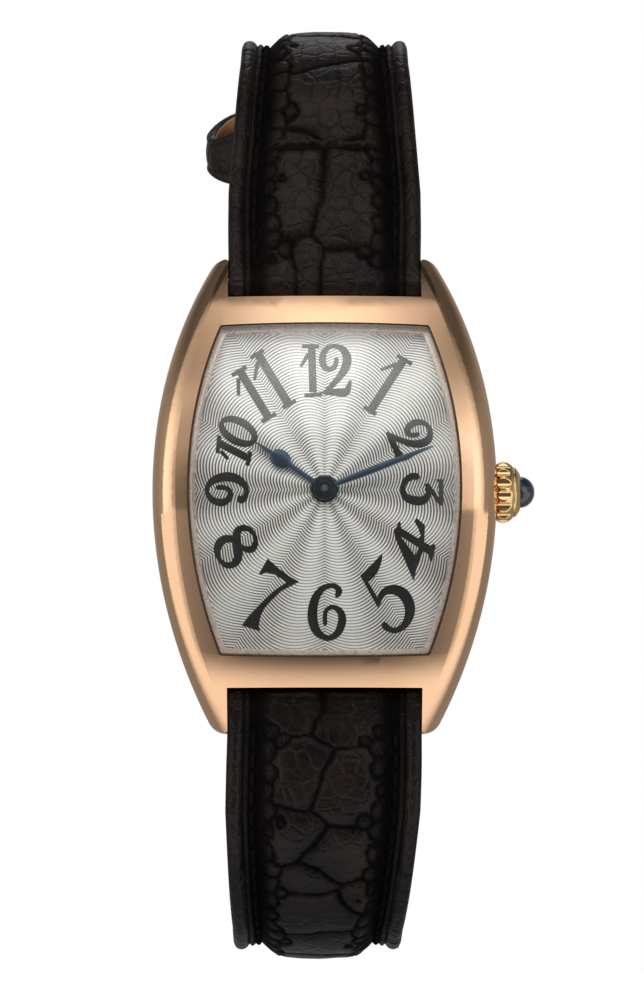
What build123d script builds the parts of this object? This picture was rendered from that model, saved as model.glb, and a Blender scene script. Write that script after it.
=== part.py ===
from build123d import *
import os
from math import asin, atan2, ceil, cos, degrees, hypot, pi, radians, sin, sqrt

# A small tonneau-shaped quartz wrist watch on a padded leather strap.
# Origin: the centre of the flat outer face of the case back.
# -Y is the way the dial faces, +Y points to the wrist, +Z to twelve o'clock, +X to the crown.
# A depth is a distance from the case back's outer face towards the viewer, so y = -depth.

# Case outline and body
case_width = 25.0
case_side_radius = 36.8
case_tip_z = 17.52
case_end_z = 14.33
lug_gap = 14.2
lug_round = 1.5
lug_round_margin = 0.05
lug_trim_share = 0.27
case_front_depth = 7.4
case_length_radius = 28.0
case_cross_radius = 60.0
case_shoulder = 2.1
case_under_depth = 0.9
lug_low_depth = -0.9
lug_slope_run = 1.3
lug_root_margin = 0.15
lug_facet_top_depth = 2.1
lug_facet_end_depth = 0.5
lug_facet_run = 0.9
bar_depth = 0.55
bar_inset = 1.72
bar_pit_radius = 0.4
bar_pit_length = 0.85

# Dial opening, crystal and flange
opening_half_width = 9.92
opening_half_height = 12.07
opening_side_radius = 32.6
opening_corner = 0.25
opening_bow = 0.15
crystal_front_depth = 7.65
crystal_thickness = 1.0
crystal_length_radius = 29.0
gasket_band = 0.18
seat_clearance = 0.02
gasket_proud = 0.55
flange_low_inset = 0.75
flange_high_inset = 0.2
flange_low_depth = 2.0
flange_high_depth = 7.0

# Dial and cavity
dial_front_depth = 4.15
dial_thickness = 0.4
dial_radius = 60.0
dial_ledge = 0.34
dial_hole_radius = 0.9
dial_foot_radius = 0.3
dial_foot_length = 1.2
dial_foot_upper_x = 1.9
dial_foot_upper_z = 6.3
dial_foot_lower_x = -4.6
dial_foot_lower_z = -5.1
cavity_clearance = 0.1

# Case back
back_thickness = 0.9
back_inset = 0.62
back_end_inset = 0.2
back_corner = 0.5
back_chamfer = 0.25
back_screw_side_margin = 0.75
back_screw_end_margin = 0.7
back_screw_head_radius = 0.55
back_screw_head_height = 0.5
back_screw_head_recess = 0.08
back_screw_shank_radius = 0.35
back_screw_length = 1.9
back_slot_width = 0.16
back_slot_depth = 0.18
back_gasket_gap = 0.25
back_gasket_width = 0.25
back_gasket_corner = 0.65
back_gasket_height = 0.35

# Crown and winding stem, on the axis y = -stem_depth, z = 0
stem_depth = 2.3
stem_radius = 0.42
stem_inner_x = 3.3
stem_pilot_radius = 0.2
stem_pilot_length = 0.4
stem_groove_x = 4.75
stem_groove_width = 0.3
stem_groove_radius = 0.25
stem_thread_radius = 0.29
pinion_radius = 0.5
pinion_start_x = 3.75
pinion_length = 0.6
pinion_bore_gap = 0.01
crown_radius = 2.24
crown_inner_x = 12.02
crown_flange = 0.3
crown_flange_radius = 2.0
crown_ring = 1.42
crown_ring_barrel = 0.16
crown_cone = 0.52
crown_cone_radius = 1.3
crown_flutes = 16
crown_flute_radius = 0.4
crown_flute_bite = 0.2
crown_bore_radius = 1.2
crown_bore_depth = 1.15
crown_pocket_radius = 2.45
crown_pocket_gap = 0.12
cabochon_radius = 1.15
cabochon_height = 1.07
cabochon_tip_flat = 0.06
cabochon_seat = 0.25
cabochon_seat_gap = 0.02
tube_outer_radius = 0.85
tube_inner_radius = 0.5
tube_end_gap = 0.25
crown_gasket_gap = 0.03
crown_gasket_length = 0.4
crown_gasket_setback = 0.35

# Hands, angles clockwise from twelve
minute_angle = 68.6
hour_angle = 304.4
hour_hand_depth = 4.45
hour_hand_thickness = 0.28
hour_hand_length = 5.98
hour_hub_radius = 1.0
hour_stem_width = 0.36
hour_blob_centre = 3.88
hour_blob_length = 1.62
hour_blob_width = 1.3
hour_tip_width = 0.34
minute_hand_depth = 5.0
minute_hand_thickness = 0.18
minute_hand_length = 8.48
minute_hand_width = 0.5
minute_hand_base = 0.3
minute_hub_radius = 0.85
minute_hub_height = 0.42
hand_point_width = 0.08
centre_pin_radius = 0.24
centre_pin_rise = 0.12

# Motion works, the twelve-to-one train behind the dial
motion_module = 0.12
cannon_teeth = 10
minute_wheel_teeth = 30
minute_pinion_teeth = 8
hour_wheel_teeth = 32
minute_wheel_angle = -50.0
tooth_height_share = 0.8
root_depth_share = 1.2
tooth_base_share = 0.5
tooth_tip_share = 0.22
arbor_radius = 0.18
arbor_gap = 0.04
cannon_outer_radius = 0.38
pipe_gap = 0.05
hour_pipe_radius = 0.62
press_gap = 0.01
lower_wheel_depth = 2.68
lower_wheel_thickness = 0.22
upper_wheel_depth = 2.98
upper_wheel_thickness = 0.22
stud_radius = 0.2

# Movement
movement_width = 12.2
movement_height = 15.2
movement_corner = 4.0
movement_back_depth = 1.4
movement_front_depth = 3.1
movement_ring_gap = 0.06
ring_back_depth = 0.94
train_pocket_depth = 2.35
motion_pocket_depth = 2.6
battery_radius = 2.9
battery_height = 1.65
battery_back_depth = 1.15
battery_x = -2.9
battery_z = 4.3
battery_cap_radius = 2.3
battery_cap_height = 0.2
part_gap = 0.08
clip_thickness = 0.12
clip_width = 1.6
wheel_module = 0.07
centre_wheel_teeth = 60
third_pinion_teeth = 8
third_wheel_teeth = 50
third_wheel_angle = -120.0
intermediate_teeth = 40
intermediate_pinion_teeth = 8
intermediate_angle = -90.0
rotor_module = 0.06
rotor_pinion_teeth = 6
rotor_angle = 0.0
wheel_thickness = 0.14
centre_wheel_depth = 1.55
third_wheel_depth = 1.85
rotor_magnet_radius = 0.6
rotor_magnet_height = 0.35
rotor_magnet_depth = 1.95
bridge_back_depth = 1.06
bridge_thickness = 0.3
bridge_margin = 0.75
bridge_screw_left_x = -4.9
bridge_screw_right_x = 3.4
bridge_screw_upper_z = -1.2
bridge_screw_middle_z = -1.9
bridge_screw_lower_z = -4.1
bridge_screw_radius = 0.5
bridge_screw_shank = 0.24
bridge_screw_head = 0.16
bridge_screw_length = 0.75
stator_thickness = 0.3
stator_band = 2.2
stator_gap = 0.18
coil_radius = 0.55
coil_length = 5.6
coil_core = 0.4
coil_end = 1.1
coil_z = -6.15
coil_depth = 1.82
board_back_depth = 1.02
board_thickness = 0.18
board_left_x = 0.7
board_right_x = 5.5
board_low_z = 1.1
board_high_z = 6.2
board_corner = 0.6
can_radius = 0.72
can_length = 4.6
can_x = 4.1
can_low_z = 1.35
can_depth = 2.02
lever_depth = 1.5
lever_thickness = 0.2
lever_length = 2.3
lever_width = 0.6
lever_finger = 0.22

# Strap, its spring bars and its keepers
strap_lug_width = 14.1
strap_full_width = 14.25
strap_bend_width = 12.75
strap_end_width = 12.0
strap_flare_run = 5.0
strap_taper_start = 7.5
strap_taper_end = 19.5
strap_lug_half = 1.1
strap_lug_edge = 1.0
strap_bar_round = 1.35
strap_lining_level = 0.5
strap_lining_thickness = 0.8
strap_lining_start = 1.6
strap_lining_inset = 0.12
strap_edge_height = 1.3
strap_end_edge_height = 0.85
strap_pad_height = 2.05
strap_end_height = 1.05
strap_pad_run = 5.0
strap_pad_hold = 30.0
strap_stitch_inset = 1.75
strap_edge_round = 0.5
strap_lean = 22.0
strap_lower_lean = 18.0
strap_rise = 14.15
strap_front_bend = 10.5
strap_top_bend = 50.0
strap_back_bend = 5.0
strap_back_run = 10.5
strap_back_sweep = 9.0
strap_buckle_run = 8.0
strap_drop = 6.0
strap_bottom_bend = 15.0
strap_tail_bend = 17.0
strap_tail_flare = 27.5
strap_tail_run = 44.0
strap_station = 4.0
strap_layer_gap = 0.03
strap_turn_step = 9.0
tail_tip_length = 7.0
tail_tip_width = 3.2
tail_nose = 0.25
tail_belly_share = 0.6
tail_belly_width_share = 0.83
tail_hole_radius = 0.8
tail_hole_pitch = 5.5
tail_hole_count = 5
tail_first_hole = 17.0
spring_bar_radius = 0.65
spring_bar_gap = 0.05
spring_bar_end_gap = 0.15
spring_tip_radius = 0.35
spring_tip_reach = 0.75
keeper_thickness = 0.9
keeper_length = 5.0
keeper_side_gap = 0.12
keeper_inner_gap = 0.25
fixed_keeper_setback = 4.9
fixed_keeper_room = 2.4
loose_keeper_length = 4.8
loose_keeper_width = 15.0
loose_keeper_shift = -1.2
loose_keeper_height = 4.1
loose_keeper_offset = 1.7
loose_keeper_low_gap = 0.3
keeper_corner = 0.7

# Tang buckle
buckle_bar_radius = 0.55
buckle_bar_gap = 0.05
buckle_end_round = 1.2
buckle_side_gap = 0.15
buckle_arm_width = 1.4
buckle_arm_radius = 0.95
buckle_reach = 8.6
buckle_rail_radius = 0.95
buckle_arch = 0.5
tang_slot_width = 2.3
tang_slot_length = 4.6
tang_width = 1.4
tang_thickness = 0.75
tang_eye_radius = 1.1
tang_overhang = 0.5
tang_rest_gap = 0.04

# One overrun for every cut that passes through a surface
overrun = 1.0
body_span = 60.0


# Frames and simple solids

def front(depth, x=0.0, z=0.0):
    """A plane across the watch that looks out of the dial, at a depth from the case back."""
    return Plane(origin=(x, -depth, z), x_dir=(1, 0, 0), z_dir=(0, -1, 0))


def side(x=0.0):
    """A plane along the watch: its x is the row's Y and its y is the row's Z."""
    return Plane(origin=(x, 0, 0), x_dir=(0, 1, 0), z_dir=(1, 0, 0))


def disc(radius, low, high, x=0.0, z=0.0):
    """A round solid on an axis that points out of the dial, between two depths."""
    return extrude(front(low, x, z) * Circle(radius), amount=high - low)


def rod(radius, start, end, y, z):
    """A round solid along X, between two places."""
    plane = Plane(origin=(start, y, z), x_dir=(0, 1, 0), z_dir=(1, 0, 0))
    return extrude(plane * Circle(radius), amount=end - start)


def slab(face, low, high):
    """A flat outline raised from one depth to another."""
    return extrude(front(low) * face, amount=high - low)


def block(x_low, x_high, low, high, z_low, z_high):
    """A box between two places along X, two depths and two places along Z."""
    plane = front(low, (x_low + x_high) / 2, (z_low + z_high) / 2)
    return extrude(plane * Rectangle(x_high - x_low, z_high - z_low), amount=high - low)


def curved_core(depth, radius):
    """All that lies behind a surface that bends along the watch's length only."""
    return rod(radius, -body_span / 2, body_span / 2, radius - depth, 0)


def domed_core(depth, length_radius, cross_radius):
    """All that lies behind a surface that bends both ways, with its peak at a depth."""
    half = case_width / 2 + overrun
    edge_y = -depth + cross_radius - sqrt(cross_radius**2 - half**2)
    low_y = case_under_depth + overrun
    dome = ThreePointArc((-half, edge_y), (0, -depth), (half, edge_y))
    walls = Polyline((half, edge_y), (half, low_y), (-half, low_y), (-half, edge_y))
    profile = make_face([dome.edge()] + walls.edges())
    axis = Axis((0, length_radius - depth, 0), (1, 0, 0))
    sweep_angle = 2 * degrees(asin((case_tip_z + overrun) / length_radius))
    return revolve(profile, axis, sweep_angle).rotate(axis, -sweep_angle / 2)


def bowed(start, end, bow):
    """A line, or an arc whose middle stands out from the line by the bow along Z."""
    if bow == 0:
        return Line(start, end)
    middle = ((start[0] + end[0]) / 2, (start[1] + end[1]) / 2 + bow)
    return ThreePointArc(start, middle, end)


def barrel(half_width, half_height, side_radius, corner=0.0, bow=0.0):
    """A tonneau outline: two bowed sides between two nearly straight ends."""
    corner_x = half_width - side_radius + sqrt(side_radius**2 - half_height**2)
    right = ThreePointArc((corner_x, -half_height), (half_width, 0), (corner_x, half_height))
    top = bowed((corner_x, half_height), (-corner_x, half_height), bow)
    left = ThreePointArc((-corner_x, half_height), (-half_width, 0), (-corner_x, -half_height))
    bottom = bowed((-corner_x, -half_height), (corner_x, -half_height), -bow)
    face = make_face([right.edge(), top.edge(), left.edge(), bottom.edge()])
    if corner > 0:
        face = fillet(face.vertices(), corner)
    return face


def opening(inset, corner=opening_corner):
    """The dial opening's outline, drawn in by an inset or let out by a negative one."""
    return barrel(opening_half_width - inset, opening_half_height - inset,
                  opening_side_radius - inset, corner, opening_bow)


# Case

bar_z = case_tip_z - bar_inset
crown_pocket_x = crown_inner_x - crown_pocket_gap
cavity_inset = -dial_ledge - cavity_clearance
dial_inset = -dial_ledge


def case_blank():
    """The barrel body with its broad domed front rolled over into the sides."""
    outline = barrel(case_width / 2, case_tip_z, case_side_radius)
    body = slab(outline, -overrun, case_front_depth + overrun)
    body = body & domed_core(case_front_depth, case_length_radius, case_cross_radius)
    front_edges = [edge for edge in body.edges()
                   if abs(edge.center().X) > lug_gap / 2 and edge.center().Y < -case_front_depth / 2
                   and abs(edge.center().Z) < case_end_z / 2]
    return fillet(front_edges, case_shoulder)


def lug_outline():
    """The plan that rounds the ends of the four lugs: a broad field with a circle at each end."""
    centre_x = lug_gap / 2 + lug_round_margin
    centre_z = case_tip_z - lug_round
    trim_z = centre_z + lug_round * lug_trim_share
    outline = Rectangle(2 * case_width, 2 * trim_z)
    for x in (-centre_x, centre_x):
        for z in (-centre_z, centre_z):
            outline = outline + Pos(x, z) * Circle(lug_round)
    return outline


def strap_gap(sign):
    """The gap between two lugs, above or below the case."""
    far_z = case_tip_z + overrun
    low_z, high_z = sorted((sign * case_end_z, sign * far_z))
    return block(-lug_gap / 2, lug_gap / 2, -overrun - case_under_depth, case_front_depth + overrun,
                 low_z, high_z)


def lug_side_profile():
    """The side view that cuts the flat underside, the lugs' drop and their end facets."""
    root_z = case_end_z - lug_root_margin
    far_z = case_tip_z + overrun
    facet_slope = (lug_facet_top_depth - lug_facet_end_depth) / lug_facet_run
    facet_start_z = case_tip_z - lug_facet_run
    front_y = -case_front_depth - overrun
    front_z = facet_start_z - (case_front_depth + overrun - lug_facet_top_depth) / facet_slope
    facet_end_z = case_tip_z + overrun
    facet_end_y = -lug_facet_end_depth + overrun * facet_slope
    half = [(-case_under_depth, root_z),
            (-lug_low_depth, root_z + lug_slope_run),
            (-lug_low_depth, far_z),
            (facet_end_y, facet_end_z),
            (front_y, front_z)]
    mirrored = [(y, -z) for y, z in reversed(half)]
    return side(-case_width) * make_face(Polyline(half + mirrored, close=True))


def back_outline(inset=0.0):
    half_height = case_end_z - back_end_inset - inset
    return barrel(case_width / 2 - back_inset - inset, half_height,
                  case_side_radius - back_inset - inset, back_corner)


def back_gasket_ring(clearance=0.0):
    """The gasket's flat ring, drawn in on both sides by a clearance."""
    inner = opening(cavity_inset - back_gasket_gap - clearance, back_gasket_corner)
    outer = opening(cavity_inset - back_gasket_gap - back_gasket_width + clearance,
                    back_gasket_corner + back_gasket_width)
    return outer - inner


def screw_places():
    """The back's four screws, a set distance from its side arcs and its ends."""
    z = case_end_z - back_end_inset - back_screw_end_margin
    radius = case_side_radius - back_inset
    x = case_width / 2 - case_side_radius + sqrt(radius**2 - z**2) - back_screw_side_margin
    return [(-x, -z), (-x, z), (x, -z), (x, z)]


def make_case_middle():
    body = case_blank() & slab(lug_outline(), -overrun, case_front_depth + overrun)
    for sign in (-1, 1):
        body = body - strap_gap(sign)
    body = body & extrude(lug_side_profile(), amount=2 * case_width)
    body = body - slab(opening(0.0), case_under_depth, case_front_depth + overrun)
    cavity = slab(opening(cavity_inset), 0, case_front_depth)
    body = body - (cavity & curved_core(dial_front_depth + seat_clearance, dial_radius))
    groove_top = case_under_depth + back_gasket_height
    body = body - slab(back_gasket_ring(), 0, groove_top)
    for x, z in screw_places():
        body = body - disc(back_screw_shank_radius + seat_clearance, 0,
                           back_screw_head_height + back_screw_length + seat_clearance, x, z)
    for z in (-bar_z, bar_z):
        reach = lug_gap / 2 + bar_pit_length
        body = body - rod(bar_pit_radius, -reach, reach, -bar_depth, z)
    body = body - rod(crown_pocket_radius, crown_pocket_x, case_width, -stem_depth, 0)
    body = body - rod(tube_outer_radius + seat_clearance, 0, case_width, -stem_depth, 0)
    return body


def make_case_back():
    plate = slab(back_outline(), 0, back_thickness)
    rim = plate.faces().sort_by(Axis.Y)[-1].edges()
    plate = chamfer(rim, back_chamfer)
    for x, z in screw_places():
        plate = plate - disc(back_screw_head_radius + seat_clearance, -overrun,
                             back_screw_head_recess + back_screw_head_height, x, z)
        plate = plate - disc(back_screw_shank_radius + seat_clearance, -overrun,
                             back_thickness + overrun, x, z)
    return plate


def make_back_screw(x, z):
    head_top = back_screw_head_recess
    head = disc(back_screw_head_radius, head_top, head_top + back_screw_head_height, x, z)
    shank = disc(back_screw_shank_radius, head_top, back_screw_head_height + back_screw_length, x, z)
    slot = block(x - back_screw_head_radius, x + back_screw_head_radius, head_top,
                 head_top + back_slot_depth, z - back_slot_width / 2, z + back_slot_width / 2)
    return head + shank - slot


def make_back_gasket():
    groove_top = case_under_depth + back_gasket_height
    return slab(back_gasket_ring(seat_clearance), back_thickness, groove_top - seat_clearance)


# Crystal, flange and dial

def crystal_dome(setback):
    """All that lies behind the crystal's front surface moved back by a distance."""
    return domed_core(crystal_front_depth - setback, crystal_length_radius - setback,
                      case_cross_radius - setback)


def make_crystal():
    prism = slab(opening(gasket_band), 0, crystal_front_depth + overrun)
    glass = (prism & crystal_dome(0.0)) - crystal_dome(crystal_thickness)
    return glass


def make_crystal_gasket():
    ring = opening(seat_clearance) - opening(gasket_band - seat_clearance)
    prism = slab(ring, 0, crystal_front_depth + overrun)
    return (prism & crystal_dome(gasket_proud)) - crystal_dome(crystal_thickness)


def make_dial_flange():
    prism = slab(opening(seat_clearance), 0, crystal_front_depth + overrun)
    ring = prism & crystal_dome(crystal_thickness + seat_clearance)
    ring = ring - curved_core(dial_front_depth + seat_clearance, dial_radius)
    low = front(flange_low_depth) * opening(flange_low_inset)
    high = front(flange_high_depth) * opening(flange_high_inset)
    return ring - loft([low, high], ruled=True)


def dial_foot_places():
    return [(dial_foot_upper_x, dial_foot_upper_z), (dial_foot_lower_x, dial_foot_lower_z)]


def make_dial():
    plate = slab(opening(dial_inset), 0, case_front_depth) & curved_core(dial_front_depth, dial_radius)
    plate = plate - curved_core(dial_front_depth - dial_thickness, dial_radius - dial_thickness)
    plate = plate - disc(dial_hole_radius, 0, case_front_depth)
    foot_depth = dial_front_depth - dial_thickness
    for x, z in dial_foot_places():
        foot = disc(dial_foot_radius, foot_depth - dial_foot_length, foot_depth, x, z)
        plate = plate + (foot & curved_core(dial_front_depth - dial_thickness / 2, dial_radius))
    return plate


# Hands

def turned(solid, angle):
    """A solid drawn towards twelve, turned clockwise about the hands' axis as seen on the dial."""
    return solid.rotate(Axis((0, 0, 0), (0, 1, 0)), angle)


def blade(start, end, width, end_width, belly_share=0.5, start_width=None):
    """A leaf-shaped outline towards twelve, with bowed edges."""
    first = (width if start_width is None else start_width) / 2
    last = end_width / 2
    belly = start + (end - start) * belly_share
    right = ThreePointArc((first, start), (width / 2, belly), (last, end))
    left = ThreePointArc((-last, end), (-width / 2, belly), (-first, start))
    cap = Line((last, end), (-last, end))
    base = Line((-first, start), (first, start))
    return make_face([right.edge(), cap.edge(), left.edge(), base.edge()])


def make_hour_hand():
    blob_start = hour_blob_centre - hour_blob_length / 2
    blob_end = hour_blob_centre + hour_blob_length / 2
    outline = Circle(hour_hub_radius)
    outline = outline + blade(hour_hub_radius / 2, blob_start + hour_blob_width / 4,
                              hour_stem_width, hour_stem_width / 2)
    outline = outline + Pos(0, hour_blob_centre) * Ellipse(hour_blob_width / 2, hour_blob_length / 2)
    outline = outline + blade(blob_end - hour_blob_width / 4, hour_hand_length, hour_tip_width / 2,
                              hand_point_width, start_width=hour_tip_width)
    outline = outline - Circle(hour_pipe_radius + press_gap)
    hand = slab(outline, hour_hand_depth, hour_hand_depth + hour_hand_thickness)
    return turned(hand, hour_angle)


def make_minute_hand():
    outline = Circle(minute_hub_radius)
    outline = outline + blade(minute_hub_radius / 2, minute_hand_length, minute_hand_width,
                              hand_point_width, start_width=minute_hand_base)
    top = minute_hand_depth + minute_hand_thickness
    hand = slab(outline, minute_hand_depth, top)
    hub_top = minute_hand_depth + minute_hub_height
    hub = disc(minute_hub_radius, minute_hand_depth, hub_top)
    hub = fillet(hub.faces().sort_by(Axis.Y)[0].edges(), minute_hub_height / 3)
    hand = hand + hub
    hand = hand - disc(cannon_outer_radius + press_gap, minute_hand_depth - overrun, top + press_gap)
    hand = hand - disc(centre_pin_radius + press_gap, minute_hand_depth, hub_top + overrun)
    return turned(hand, minute_angle)


# Gears

def gear_face(teeth, module, phase=0.0):
    """A toothed outline with straight-sided teeth, the first one turned by a phase in degrees."""
    pitch_radius = teeth * module / 2
    tip_radius = pitch_radius + module * tooth_height_share
    root_radius = pitch_radius - module * root_depth_share
    step = 360.0 / teeth
    points = []
    for tooth in range(teeth):
        middle = phase + tooth * step
        for share, radius in ((-tooth_base_share, root_radius), (-tooth_tip_share, tip_radius),
                              (tooth_tip_share, tip_radius), (tooth_base_share, root_radius)):
            angle = radians(middle + share * step / 2)
            points.append((radius * cos(angle), radius * sin(angle)))
    return make_face(Polyline(points, close=True))


def gear(teeth, module, low, high, x=0.0, z=0.0, phase=0.0):
    return extrude(front(low, x, z) * gear_face(teeth, module, phase), amount=high - low)


def mesh_phase(leader_phase, leader_teeth, follower_teeth, direction):
    """The phase that puts a follower's gap over the leader's tooth on the line of centres."""
    leader_step = 360.0 / leader_teeth
    follower_step = 360.0 / follower_teeth
    lead_fraction = ((direction - leader_phase) / leader_step) % 1.0
    return direction + 180.0 + (0.5 + lead_fraction) * follower_step


def polar(radius, angle):
    return radius * cos(radians(angle)), radius * sin(radians(angle))


motion_distance = motion_module * (cannon_teeth + minute_wheel_teeth) / 2
minute_wheel_x, minute_wheel_z = polar(motion_distance, minute_wheel_angle)
lower_wheel_top = lower_wheel_depth + lower_wheel_thickness
upper_wheel_top = upper_wheel_depth + upper_wheel_thickness
cannon_tip_depth = minute_hand_depth + minute_hub_height + centre_pin_rise
cannon_bore = arbor_radius + arbor_gap
hour_wheel_bore = cannon_outer_radius + pipe_gap


def make_cannon_pinion():
    shoulder = minute_hand_depth + minute_hand_thickness
    body = gear(cannon_teeth, motion_module, lower_wheel_depth, lower_wheel_top)
    body = body + disc(cannon_outer_radius, lower_wheel_depth, shoulder)
    body = body + disc(centre_pin_radius, shoulder, cannon_tip_depth)
    return body - disc(cannon_bore, lower_wheel_depth - overrun, shoulder - arbor_gap)


def make_minute_wheel():
    phase = mesh_phase(0.0, cannon_teeth, minute_wheel_teeth, minute_wheel_angle)
    wheel = gear(minute_wheel_teeth, motion_module, lower_wheel_depth, lower_wheel_top,
                 minute_wheel_x, minute_wheel_z, phase)
    pinion = gear(minute_pinion_teeth, motion_module, lower_wheel_depth, upper_wheel_top,
                  minute_wheel_x, minute_wheel_z)
    bore = disc(stud_radius + arbor_gap, lower_wheel_depth - overrun, upper_wheel_top + overrun,
                minute_wheel_x, minute_wheel_z)
    return wheel + pinion - bore


def make_hour_wheel():
    direction = minute_wheel_angle + 180.0
    phase = mesh_phase(0.0, minute_pinion_teeth, hour_wheel_teeth, direction)
    wheel = gear(hour_wheel_teeth, motion_module, upper_wheel_depth, upper_wheel_top, phase=phase)
    pipe = disc(hour_pipe_radius, upper_wheel_depth, hour_hand_depth + hour_hand_thickness)
    bore = disc(hour_wheel_bore, upper_wheel_depth - overrun, case_front_depth)
    return wheel + pipe - bore


# Movement

third_distance = wheel_module * (centre_wheel_teeth + third_pinion_teeth) / 2
third_x, third_z = polar(third_distance, third_wheel_angle)
intermediate_distance = wheel_module * (third_wheel_teeth + intermediate_pinion_teeth) / 2
intermediate_step_x, intermediate_step_z = polar(intermediate_distance, intermediate_angle)
intermediate_x = third_x + intermediate_step_x
intermediate_z = third_z + intermediate_step_z
rotor_distance = rotor_module * (intermediate_teeth + rotor_pinion_teeth) / 2
rotor_step_x, rotor_step_z = polar(rotor_distance, rotor_angle)
rotor_x = intermediate_x + rotor_step_x
rotor_z = intermediate_z + rotor_step_z
bridge_front_depth = bridge_back_depth + bridge_thickness


def wheel_reach(teeth, module):
    return module * (teeth / 2 + tooth_height_share) + part_gap


def movement_outline(margin=0.0):
    return RectangleRounded(movement_width + 2 * margin, movement_height + 2 * margin,
                            movement_corner + margin)


def bridge_screw_places():
    return [(bridge_screw_left_x, bridge_screw_upper_z),
            (bridge_screw_right_x, bridge_screw_middle_z),
            (bridge_screw_left_x, bridge_screw_lower_z)]


def stator_outline(margin=0.0):
    """The stator's plate round the rotor, with two legs down to the coil's ends."""
    half = coil_length / 2 + coil_end
    top = rotor_z + stator_band / 2
    plate_height = stator_band
    leg_height = top - coil_z + coil_end / 2
    outline = Pos(0, rotor_z) * Rectangle(2 * half + 2 * margin, plate_height + 2 * margin)
    for sign in (-1, 1):
        leg = Rectangle(coil_end + 2 * margin, leg_height + 2 * margin)
        outline = outline + Pos(sign * (half - coil_end / 2), top - leg_height / 2) * leg
    return outline


def make_movement_ring():
    under = dial_front_depth - dial_thickness - seat_clearance
    ring = slab(opening(dial_inset + seat_clearance), ring_back_depth, case_front_depth)
    ring = ring & curved_core(under, dial_radius - dial_thickness)
    ring = ring - slab(movement_outline(movement_ring_gap), 0, case_front_depth)
    return ring - rod(stem_radius + part_gap, 0, case_width, -stem_depth, 0)


def make_main_plate():
    plate = slab(movement_outline(), movement_back_depth, movement_front_depth)
    pocket_low = movement_back_depth - overrun
    plate = plate - disc(battery_radius + part_gap, pocket_low,
                         battery_back_depth + battery_height + part_gap, battery_x, battery_z)
    train = ((centre_wheel_teeth, wheel_module, 0.0, 0.0),
             (third_wheel_teeth, wheel_module, third_x, third_z),
             (intermediate_teeth, rotor_module, intermediate_x, intermediate_z))
    for teeth, module, x, z in train:
        plate = plate - disc(wheel_reach(teeth, module), pocket_low, train_pocket_depth, x, z)
    plate = plate - slab(stator_outline(part_gap), pocket_low, train_pocket_depth)
    coil_room = coil_radius + part_gap
    plate = plate - block(-coil_length / 2 - part_gap, coil_length / 2 + part_gap, pocket_low,
                          coil_depth + coil_room, coil_z - coil_room, coil_z + coil_room)
    can_room = can_radius + part_gap
    plate = plate - block(can_x - can_room, can_x + can_room, pocket_low, can_depth + can_room,
                          can_low_z - part_gap, can_low_z + can_length + part_gap)
    lever_room_x = stem_groove_x - lever_width / 2 - part_gap
    plate = plate - block(lever_room_x, movement_width, pocket_low, stem_depth,
                          -lever_length / 2 - part_gap, lever_length / 2 + part_gap)
    plate = plate - rod(pinion_radius + part_gap, stem_inner_x, movement_width, -stem_depth, 0)
    motion_high = movement_front_depth + overrun
    plate = plate - disc(wheel_reach(hour_wheel_teeth, motion_module), motion_pocket_depth, motion_high)
    plate = plate - disc(wheel_reach(minute_wheel_teeth, motion_module), motion_pocket_depth,
                         motion_high, minute_wheel_x, minute_wheel_z)
    plate = plate - disc(arbor_radius + arbor_gap, 0, motion_high)
    for x, z in dial_foot_places():
        plate = plate - disc(dial_foot_radius + seat_clearance, 0, motion_high, x, z)
    for x, z in bridge_screw_places():
        plate = plate + disc(bridge_screw_radius, bridge_front_depth, train_pocket_depth, x, z)
        plate = plate - disc(bridge_screw_shank + seat_clearance, 0,
                             bridge_back_depth + bridge_screw_length + part_gap, x, z)
    stud = disc(stud_radius, train_pocket_depth, upper_wheel_top, minute_wheel_x, minute_wheel_z)
    return plate + stud


def make_train_bridge():
    outline = Circle(bridge_margin)
    pivots = ((third_x, third_z), (intermediate_x, intermediate_z), (rotor_x, rotor_z))
    previous = (0.0, 0.0)
    for place in pivots + tuple(bridge_screw_places()):
        outline = outline + Pos(*place) * Circle(bridge_margin)
        outline = outline + link(previous, place)
        if place in pivots:
            previous = place
    bridge = slab(outline, bridge_back_depth, bridge_front_depth)
    for x, z in ((0.0, 0.0),) + pivots:
        bridge = bridge - disc(arbor_radius + seat_clearance, 0, case_front_depth, x, z)
    for x, z in bridge_screw_places():
        bridge = bridge - disc(bridge_screw_shank + seat_clearance, 0, case_front_depth, x, z)
        bridge = bridge - disc(bridge_screw_radius + seat_clearance, 0,
                               bridge_back_depth + bridge_screw_head, x, z)
    return bridge


def link(start, end):
    """A strip of the bridge between two places, as wide as its round ends."""
    run = hypot(end[0] - start[0], end[1] - start[1])
    angle = degrees(atan2(end[1] - start[1], end[0] - start[0]))
    middle = ((start[0] + end[0]) / 2, (start[1] + end[1]) / 2)
    return Pos(*middle) * Rot(0, 0, angle) * Rectangle(run, 2 * bridge_margin)


def make_bridge_screw(x, z):
    head = disc(bridge_screw_radius - seat_clearance, bridge_back_depth,
                bridge_back_depth + bridge_screw_head - seat_clearance, x, z)
    shank = disc(bridge_screw_shank, bridge_back_depth, bridge_back_depth + bridge_screw_length, x, z)
    slot = block(x - bridge_screw_radius, x + bridge_screw_radius, bridge_back_depth,
                 bridge_back_depth + bridge_screw_head / 2,
                 z - back_slot_width / 2, z + back_slot_width / 2)
    return head + shank - slot


def make_battery():
    cap_top = battery_back_depth + battery_height
    can = disc(battery_radius, battery_back_depth, cap_top - battery_cap_height, battery_x, battery_z)
    return can + disc(battery_cap_radius, battery_back_depth, cap_top, battery_x, battery_z)


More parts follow.
